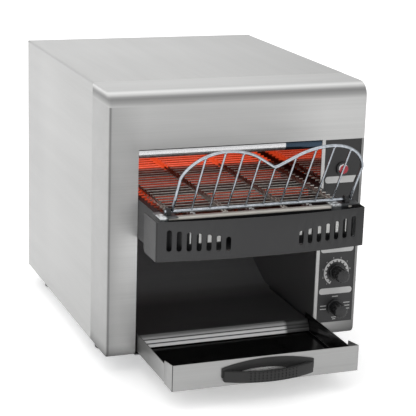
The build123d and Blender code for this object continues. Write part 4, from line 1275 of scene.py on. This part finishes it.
class TOASTER_OT_rack(bpy.types.Operator):
    """Welded wire rack with two humps, its bars and its pivot rod"""

    bl_idname = "toaster.rack"
    bl_label = "Wire Rack"

    def outer_wire(self, line, radius):
        nothing_selected()
        foot = (-RACK_HALF * MM, 0, 0)
        bpy.ops.mesh.primitive_circle_add(vertices=14, radius=radius, location=foot, fill_type="NGON")
        wire = named("outer_wire")
        edit(wire)
        everything()
        for kind, (x, z, *turn) in line.steps:
            if kind == "run":
                bpy.ops.mesh.extrude_region_move(TRANSFORM_OT_translate={"value": (x * MM, 0, z * MM)})
            else:
                bpy.ops.mesh.spin(
                    steps=max(4, int(abs(turn[0]) / 4)), angle=radians(-turn[0]),
                    center=(x * MM, 0, z * MM), axis=(0, 1, 0), use_auto_merge=False,
                )
        bpy.ops.mesh.delete(type="FACE")
        done()
        wire.modifiers.new("Other half", "MIRROR").merge_threshold = 2e-5
        apply_all(wire)
        outward(wire)
        return wire

    def execute(self, context):
        sizes = context.scene.toaster_sizes
        line = RackLine()
        parts = [self.outer_wire(line, sizes.rack_wire)]
        bar = round_bar("bar", Vector((0, 0, 0)), Vector((0, 0, 0.02)), sizes.rack_bar, 12)
        bead = ball("bead", 12, 8, 0.0023)
        for k in range(RACK_BARS):
            x = RACK_STEP * (k - (RACK_BARS - 1) / 2)
            top = line.height(x) * MM
            rod, weld = copy_of(bar, "rod"), copy_of(bead, "weld")
            shift_mesh(rod, Vector((x * MM, 0, 0)))
            edit(rod)
            move_points(rod, lambda v: v.z > 0.01, (0, 0, top - 0.0205))
            done()
            shift_mesh(weld, Vector((x * MM, 0, top - 0.0012)))
            parts += [rod, weld]
        rack = joined("wire_rack", parts)
        delete(bar, bead)
        shade(rack, 50)
        foot, end = Vector((-(RACK_HALF + 10) * MM, 0, 0)), Vector(((RACK_HALF + 2) * MM, 0, 0))
        pivot = round_bar("rack_pivot", foot, end, sizes.rack_pivot, 20)
        edge_round(pivot, 0.0005, 2)
        lean = Matrix.Translation(at(*RACK_PIVOT)) @ Matrix.Rotation(radians(RACK_LEAN), 4, "X")
        for piece, node in ((rack, "rack_frame"), (pivot, "rack_rod")):
            piece.data.transform(lean)
            ready(piece, "rack", "rack_chrome", "rack_chrome", node)
        return DONE


# ---- tray ----


class TOASTER_OT_tray(bpy.types.Operator):
    """Pull-out tray: folded pan and its taller front panel"""

    bl_idname = "toaster.tray"
    bl_label = "Tray"

    def execute(self, context):
        self.pan()
        self.panel()
        return DONE

    def pan(self):
        low, high = at(TRAY_LEFT, TRAY_FRONT + 1, TRAY_LOW), at(TRAY_RIGHT, TRAY_BACK, TRAY_WALL)
        pan = block("tray_body", low, high)
        edit(pan)
        remove_faces(pan, lambda c, n: n.z > 0.9 or n.y < -0.9)
        done()
        give_wall(pan, 0.001)
        cut_away(pan, block("cut", at(-200, 20, 42), at(200, TRAY_BACK + 1, 90)))
        edge_round(pan, 0.0003, 2)
        floor, side = (TRAY_LOW + 1) * MM, (TRAY_RIGHT - 1) * MM
        # The inner face of the right wall gets the near-black finish as painted shade; the floor gets the
        # same near-black mirror finish
        for face in pan.data.polygons:
            inner = face.normal.x < -0.9 and near(face.center.x, side)
            bottom = face.normal.z > 0.9 and abs(face.center.z - floor) < 0.0003
            face.material_index = 1 if inner or bottom else 0
        ready(pan, "tray", ["tray_steel", "tray_black"], "brushed_case", "tray_pan")

    def panel(self):
        low = at(TRAY_LEFT - 1, TRAY_FRONT, TRAY_LOW - 0.2)
        high = at(TRAY_RIGHT + 1, TRAY_FRONT + TRAY_RETURN, TRAY_HIGH)
        panel = block("tray_panel", low, high)
        edit(panel)
        remove_faces(panel, lambda c, n: abs(n.z) > 0.9 or n.y > 0.9)
        round_edges(panel, lambda a, b: near(a.x, b.x) and placed(y=low.y)(a, b), 0.0016, 4)
        move_points(panel, placed(y=high.y, z=high.z), (0, 0, -0.0043))
        done()
        give_wall(panel, 0.001)
        edge_round(panel, 0.0003, 2)
        ready(panel, "tray", ["tray_steel", "tray_corner"], "brushed_case", "tray_front")
        mark_corners(panel, low.y)


class TOASTER_OT_handle(bpy.types.Operator):
    """Bow handle of the tray with its grid of dimples"""

    bl_idname = "toaster.handle"
    bl_label = "Tray Handle"

    def execute(self, context):
        band = self.prism("handle_grip", self.bow(0, 0, HANDLE_END, HANDLE_BOW), HANDLE_LOW, HANDLE_HIGH)
        inside = self.bow(9, 11, 3.5, HANDLE_BOW - HANDLE_T)
        cut_away(band, self.prism("cut", inside, HANDLE_LOW - 2, HANDLE_HIGH + 2))
        pit = ball("pit", 10, 6, context.scene.toaster_sizes.dimple)
        for name in ("handle_black", "pit_black"):
            pit.data.materials.append(finish_named(name))
            band.data.materials.append(finish_named(name))
        for face in pit.data.polygons:
            face.material_index = 1
        pits = []
        half, bow = (HANDLE_RIGHT - HANDLE_LEFT) / 2, HANDLE_BOW - HANDLE_END
        for column in range(PIT_COLUMNS):
            away = PIT_STEP * (column - (PIT_COLUMNS - 1) / 2) + PIT_SHIFT
            y = TRAY_FRONT - HANDLE_END - bow_reach(away, half, bow)
            for row in range(PIT_ROWS):
                twin = copy_of(pit, "pit")
                shift_mesh(twin, at(HANDLE_MID + away, y, PIT_LOW + PIT_RISE * row))
                pits.append(twin)
        delete(pit)
        edge_round(band, 0.0010, 3, 50)
        cut_away(band, joined("cut", pits))
        handle = joined("handle_grip", [self.back_plate(), band])
        shade(handle)
        ready(handle, "tray", ["handle_black", "pit_black"], "handle_black", "tray_handle")
        return DONE

    def bow(self, foot, start, end_depth, depth):
        """Outline of a bow from one end of the handle to the other, in (x, y)."""
        y = TRAY_FRONT - end_depth
        left, right = (HANDLE_LEFT + start, y), (HANDLE_RIGHT - start, y)
        arc = arc_points(left, (HANDLE_MID, TRAY_FRONT - depth), right, 28)
        return [(HANDLE_LEFT + foot, TRAY_FRONT), left, *arc, (HANDLE_RIGHT - foot, TRAY_FRONT)]

    def back_plate(self):
        """Arched plate that the band stands on, with a gap between it and the band's upper edge."""
        left, right = HANDLE_LEFT - 2, HANDLE_RIGHT + 2
        arch = [(left, HANDLE_HIGH + 3)]
        arch += arc_points(arch[0], (HANDLE_MID, HANDLE_ARCH), (right, HANDLE_HIGH + 3), 24)
        plate = self.upright("handle_plate", [(left, 40.0), *arch, (right, 40.0)], HANDLE_PLATE)
        plate.data.materials.append(finish_named("handle_black"))
        foot, start, top, end, last = ((HANDLE_MID + x, z) for x, z in HANDLE_GAP)
        gap = [foot, start, *arc_points(start, top, end, 16), last]
        cut_away(plate, self.upright("cut", gap, HANDLE_PLATE + 4, 0.002))
        edge_round(plate, 0.0006, 3, 50)
        return plate

    def upright(self, name, outline, depth, behind=0.0):
        """A plate with an (x, z) outline that stands out forwards from the tray's front."""
        shape = self.prism(name, outline, 0, depth)
        shift_mesh(shape, Vector((0, Y_MIDDLE * MM, 0)))
        shape.data.transform(Matrix.Rotation(pi / 2, 4, "X"))
        shift_mesh(shape, Vector((0, at(0, TRAY_FRONT, 0).y + behind, 0)))
        outward(shape)
        return shape

    def prism(self, name, outline, low, high):
        """A block with an (x, y) outline, extruded upwards."""
        piece = in_scene(bpy.data.objects.new(name, bpy.data.meshes.new(name)))
        shape = bmesh.new()
        shape.faces.new([shape.verts.new(at(x, y, low)) for x, y in outline])
        shape.to_mesh(piece.data)
        shape.free()
        edit(piece)
        everything()
        bpy.ops.mesh.extrude_region_move(TRANSFORM_OT_translate={"value": (0, 0, (high - low) * MM)})
        done()
        outward(piece)
        return piece


# ---- controls ----


def plate_bar(name, z, start, end, radius, sides):
    """A round bar square to the control plate, on its middle line."""
    return round_bar(name, at(PLATE_MID, start, z), at(PLATE_MID, end, z), radius, sides)


class TOASTER_OT_knobs(bpy.types.Operator):
    """Speed and power knobs: a skirt, a fluted grip and a pointer"""

    bl_idname = "toaster.knobs"
    bl_label = "Knobs"

    def execute(self, context):
        grip_r = context.scene.toaster_sizes.knob
        front = PLATE_FACE - 0.8
        for name, z, node in (("speed_dial", SPEED_Z, "speed_knob"), ("power_dial", POWER_Z, "power_knob")):
            skirt = plate_bar("skirt", z, front, front - 3, grip_r + 0.0016, 48)
            edge_round(skirt, 0.0008, 3)
            grip = plate_bar("grip", z, front - 2, front - 22, grip_r, 72)
            centre = at(PLATE_MID, front, z)
            edit(grip)
            for group in range(FLUTES):
                pick(grip, "verts", lambda v: self.in_flute(v, centre, group))
                bpy.ops.transform.resize(
                    value=(FLUTE_DEPTH, 1, FLUTE_DEPTH), center_override=at(PLATE_MID, front - 12, z)
                )
            pick(grip, "faces", lambda c, n: n.y < -0.9)
            bpy.ops.mesh.inset(thickness=0.0012)
            bpy.ops.transform.translate(value=(0, -0.0006, 0))
            done()
            edge_round(grip, 0.0005, 2)
            low, high = at(PLATE_MID - 0.6, front - 23, z + 4.0), at(PLATE_MID + 0.6, front - 21, z + 8.6)
            mark = block("mark", low, high)
            edge_round(mark, 0.0003, 2)
            shaft = plate_bar("shaft", z, front - 1, front + 14, 0.003, 20)
            shade(shaft)
            ready(joined(name, [mark, shaft, skirt, grip]), node, "knob_black", "knob_black", node)
        return DONE

    def in_flute(self, v, centre, group):
        angle = degrees(atan2(v.z - centre.z, v.x - centre.x)) % 360
        gap = (angle - 360 / FLUTES * group + 180) % 360 - 180
        return abs(gap) < FLUTE_HALF


class TOASTER_OT_button(bpy.types.Operator):
    """Reset button: a dark ring and a red domed cap"""

    bl_idname = "toaster.button"
    bl_label = "Reset Button"

    def execute(self, context):
        collar = plate_bar("collar", RESET_Z, PLATE_FACE, PLATE_FACE - 3, 0.0094, 48)
        edge_round(collar, 0.0009, 3)
        body = plate_bar("body", RESET_Z, PLATE_FACE - 0.5, PLATE_FACE + 20, 0.0078, 32)
        shade(body)
        bore = plate_bar("cut", RESET_Z, -10, PLATE_FACE + 12, 0.0069, 48)
        twin = copy_of(bore, "cut")
        cut_away(collar, bore)
        cut_away(body, twin)
        ring = joined("reset_ring", [body, collar])
        shade(ring)
        ready(ring, "cabinet", "ring_black", "black_nylon", "reset_socket")
        cap = plate_bar("reset_button", RESET_Z, PLATE_FACE - 5.5, PLATE_FACE + 8, 0.0068, 48)
        edit(cap)
        pick(cap, "faces", lambda c, n: n.y < -0.9)
        bpy.ops.mesh.bevel(offset=0.0012, segments=4, affect="EDGES")
        pick(cap, "faces", lambda c, n: n.y < -0.99)
        bpy.ops.mesh.inset(thickness=0.0018)
        bpy.ops.transform.translate(value=(0, 0.0004, 0))
        done()
        shade(cap, 30)
        ready(cap, "reset_cap", "button_red", "button_red", "reset_cap")
        return DONE


class TOASTER_OT_print(bpy.types.Operator):
    """Printed marks of the control plate: label bars, the speed scale and its numbers"""

    bl_idname = "toaster.print"
    bl_label = "Control Plate Print"

    def pill(self, x0, x1, z0, z1, slant=False):
        bar = block("bar", at(x0, PLATE_FACE - 0.12, z0), at(x1, PLATE_FACE + 0.05, z1))
        edit(bar)
        ends = lambda a, b: near(a.x, b.x) and near(a.z, b.z) and (not slant or a.x < (x0 + 1) * MM)
        round_edges(bar, ends, (z1 - z0) * 0.45 * MM, 5)
        if slant:
            move_points(bar, placed(x=x1 * MM, z=z0 * MM), (-0.004, 0, 0))
        done()
        return bar

    def scale_band(self):
        """Pale arc round the speed knob."""
        nothing_selected()
        centre = at(PLATE_MID, PLATE_FACE - 0.06, SPEED_Z)
        bpy.ops.mesh.primitive_cube_add(size=1, location=centre + Vector((0.0172, 0, 0)))
        bpy.context.object.scale = (0.0042, 0.00012, 0.00004)
        band = named("band")
        turn_mesh(band, centre, SCALE_START)
        edit(band)
        pick(band, "faces", lambda c, n: n.z > 0.7)
        bpy.ops.mesh.spin(steps=60, angle=radians(SCALE_SWEEP), center=centre, axis=(0, 1, 0))
        done()
        outward(band)
        return band

    def scale_ticks(self):
        """Dark teeth on the inner edge of the pale arc."""
        centre = at(PLATE_MID, PLATE_FACE - 0.10, SPEED_Z)
        low, high = centre + Vector((0.0148, -0.00006, -0.0009)), centre + Vector((0.0174, 0.00006, 0.0009))
        ticks = [block("tick", low, high) for _ in range(SCALE_TICKS)]
        for k, tick in enumerate(ticks):
            turn_mesh(tick, centre, -(TICK_START + TICK_STEP * k))
        teeth = joined("scale_teeth", ticks)
        shade(teeth)
        ready(teeth, "cabinet", "plate_paint", "panel_black")

    def number(self, k):
        angle = radians(NUMBER_START - NUMBER_STEP * k)
        spot = at(PLATE_MID + NUMBER_R * cos(angle), PLATE_FACE - 0.03, SPEED_Z + NUMBER_R * sin(angle))
        nothing_selected()
        bpy.ops.object.text_add(location=(0, 0, 0))
        text = bpy.context.object.data
        text.body = str(k + 1)
        text.size = 0.0036
        text.align_x = text.align_y = "CENTER"
        text.extrude = 0.00004
        bpy.ops.object.convert(target="MESH")
        digit = bpy.context.object
        digit.data.transform(Matrix.Translation(spot) @ Matrix.Rotation(pi / 2, 4, "X"))
        return digit

    def execute(self, context):
        marks = [self.pill(*bar) for bar in LABEL_BARS]
        for x, z, width in LABEL_LINES:
            low = at(x - width / 2, PLATE_FACE - 0.1, z - 0.55)
            marks.append(block("line", low, at(x + width / 2, PLATE_FACE + 0.05, z + 0.55)))
        marks.append(self.scale_band())
        marks += [self.number(k) for k in range(NUMBERS)]
        self.scale_ticks()
        sheet = joined("plate_print", marks)
        shade(sheet)
        ready(sheet, "cabinet", "print_white", "panel_black")
        return DONE


# ---- finishes of the carried-over nodes ----

NODE_FINISH = {
    "rear_steel": ("rear_panel",),
    "base_steel": ("base_plate", "tray_runners", "conveyor_pan", "guard_spacers"),
    "gland_nylon": ("cable_gland", "speed_control", "power_switch", "fan_frame", "fan_rotor"),
    "plate_paint": ("control_plate",),
    "liner_steel": ("liner_left", "liner_right"),
    "reflector_steel": ("ceiling_reflector", "rear_shield"),
    "reflector_glow": ("lower_reflector",),
    "rail_steel": ("rail_left", "rail_right"),
    "bracket_chrome": ("front_bracket_left", "front_bracket_right"),
    "clip_black": ("rack_clips",),
    "shaft_steel": ("front_shaft", "rear_shaft", "drive_wheel", "drive_chain", "motor_spindle"),
    "bush_bronze": ("shaft_bushes",),
    "motor_case": ("motor",),
}


class TOASTER_OT_frame_finish(bpy.types.Operator):
    """Finishes of the flat and hidden pieces that keep their CAD shape"""

    bl_idname = "toaster.frame_finish"
    bl_label = "Frame Finishes"

    def execute(self, context):
        for finish, nodes in NODE_FINISH.items():
            for name in nodes:
                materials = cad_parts[name].data.materials
                materials.clear()
                materials.append(finish_named(finish))
        return DONE


# ---- stage ----


class TOASTER_OT_stage(bpy.types.Operator):
    """Camera, pale floor, soft lamps and room light"""

    bl_idname = "toaster.stage"
    bl_label = "Stage"

    def execute(self, context):
        scene = context.scene
        scene.view_settings.view_transform = "Standard"
        self.camera(scene)
        self.floor()
        self.lamps(scene.toaster_stage)
        self.world(scene)
        return DONE

    def camera(self, scene):
        view = bpy.data.cameras.new("view")
        view.sensor_fit = "HORIZONTAL"
        view.sensor_width = SENSOR
        view.lens = FOCAL_PIXELS * SENSOR / PICTURE_WIDTH
        view.clip_end = 50.0
        camera = in_scene(bpy.data.objects.new("view", view))
        turn, lift, roll = radians(CAMERA_TURN), radians(CAMERA_LIFT), radians(CAMERA_ROLL)
        back = Vector((sin(turn) * cos(lift), -cos(turn) * cos(lift), sin(lift)))
        right = (-back).cross(Vector((0, 0, 1))).normalized()
        up = back.cross(right)
        across = right * cos(roll) + up * sin(roll)
        along = -right * sin(roll) + up * cos(roll)
        place = at(*CAMERA_GOAL) + back * CAMERA_DISTANCE
        rows = [[across[i], along[i], back[i], place[i]] for i in range(3)]
        camera.matrix_world = Matrix(rows + [[0, 0, 0, 1]])
        scene.camera = camera

    def floor(self):
        nothing_selected()
        bpy.ops.mesh.primitive_plane_add(size=60, location=(0, 0, 0))
        floor = named("floor")
        finish = Finish("floor_paper", (0.8, 0.8, 0.8), 0.9)
        seen = finish.seen()
        finish.paint(finish.mix(seen, (0.8, 0.8, 0.8), WHITE))
        finish.shine(finish.spread(seen, 0.0, 1.0, 0.0, 0.34), WHITE)
        finish.sockets["Specular IOR Level"].default_value = 0.0
        floor.data.materials.append(finish.material)

    def lamps(self, stage):
        for name, power, size, place in (
            ("top_lamp", stage.key, 3.0, (-0.6, -0.5, 2.6)),
            ("side_lamp", stage.side, 2.4, (-2.4, -0.3, 1.1)),
        ):
            lamp = bpy.data.lights.new(name, "AREA")
            lamp.energy = power
            lamp.size = size
            holder = bpy.data.objects.new(name, lamp)
            holder.location = place
            aim = Vector((0, 0, 0.2)) - Vector(place)
            holder.rotation_euler = aim.to_track_quat("-Z", "Y").to_euler()
            in_scene(holder)

    def world(self, scene):
        scene.world = bpy.data.worlds.new("room")
        room = Nodes(scene.world)
        back = room.nodes["Background"].inputs
        level = room.spread(room.seen(), 0.0, 1.0, scene.toaster_stage.room, 1.0)
        room.links.new(level, back["Strength"])
        back["Color"].default_value = (1, 1, 1, 1)


# ---- panel and registration ----

GROUPS = {"toaster_sizes": ToasterSizes, "toaster_finishes": ToasterFinishes, "toaster_stage": ToasterStage}
PIECES = (
    TOASTER_OT_case_front,
    TOASTER_OT_case_cover,
    TOASTER_OT_feet,
    TOASTER_OT_lips,
    TOASTER_OT_heaters,
    TOASTER_OT_belt,
    TOASTER_OT_guard,
    TOASTER_OT_nose,
    TOASTER_OT_rack,
    TOASTER_OT_tray,
    TOASTER_OT_handle,
    TOASTER_OT_knobs,
    TOASTER_OT_button,
    TOASTER_OT_print,
    TOASTER_OT_frame_finish,
    TOASTER_OT_stage,
)


class TOASTER_PT_pieces(bpy.types.Panel):
    """Buttons for the toaster's pieces and its settings"""

    bl_idname = "TOASTER_PT_pieces"
    bl_label = "Conveyor Toaster"
    bl_space_type = "VIEW_3D"
    bl_region_type = "UI"
    bl_category = "Toaster"

    def draw(self, context):
        for group in GROUPS:
            settings = getattr(context.scene, group)
            box = self.layout.box()
            for key in settings.__annotations__:
                box.prop(settings, key)
        for piece in PIECES:
            self.layout.operator(piece.bl_idname)


CLASSES = (*GROUPS.values(), *PIECES, TOASTER_PT_pieces)


def register():
    for cls in CLASSES:
        bpy.utils.register_class(cls)
    for group, cls in GROUPS.items():
        setattr(bpy.types.Scene, group, PointerProperty(type=cls))


def unregister():
    for group in GROUPS:
        delattr(bpy.types.Scene, group)
    for cls in reversed(CLASSES):
        bpy.utils.unregister_class(cls)


def main():
    register()
    for piece in PIECES:
        group, name = piece.bl_idname.split(".")
        getattr(getattr(bpy.ops, group), name)()
    nothing_selected()


if __name__ == "__main__":
    main()
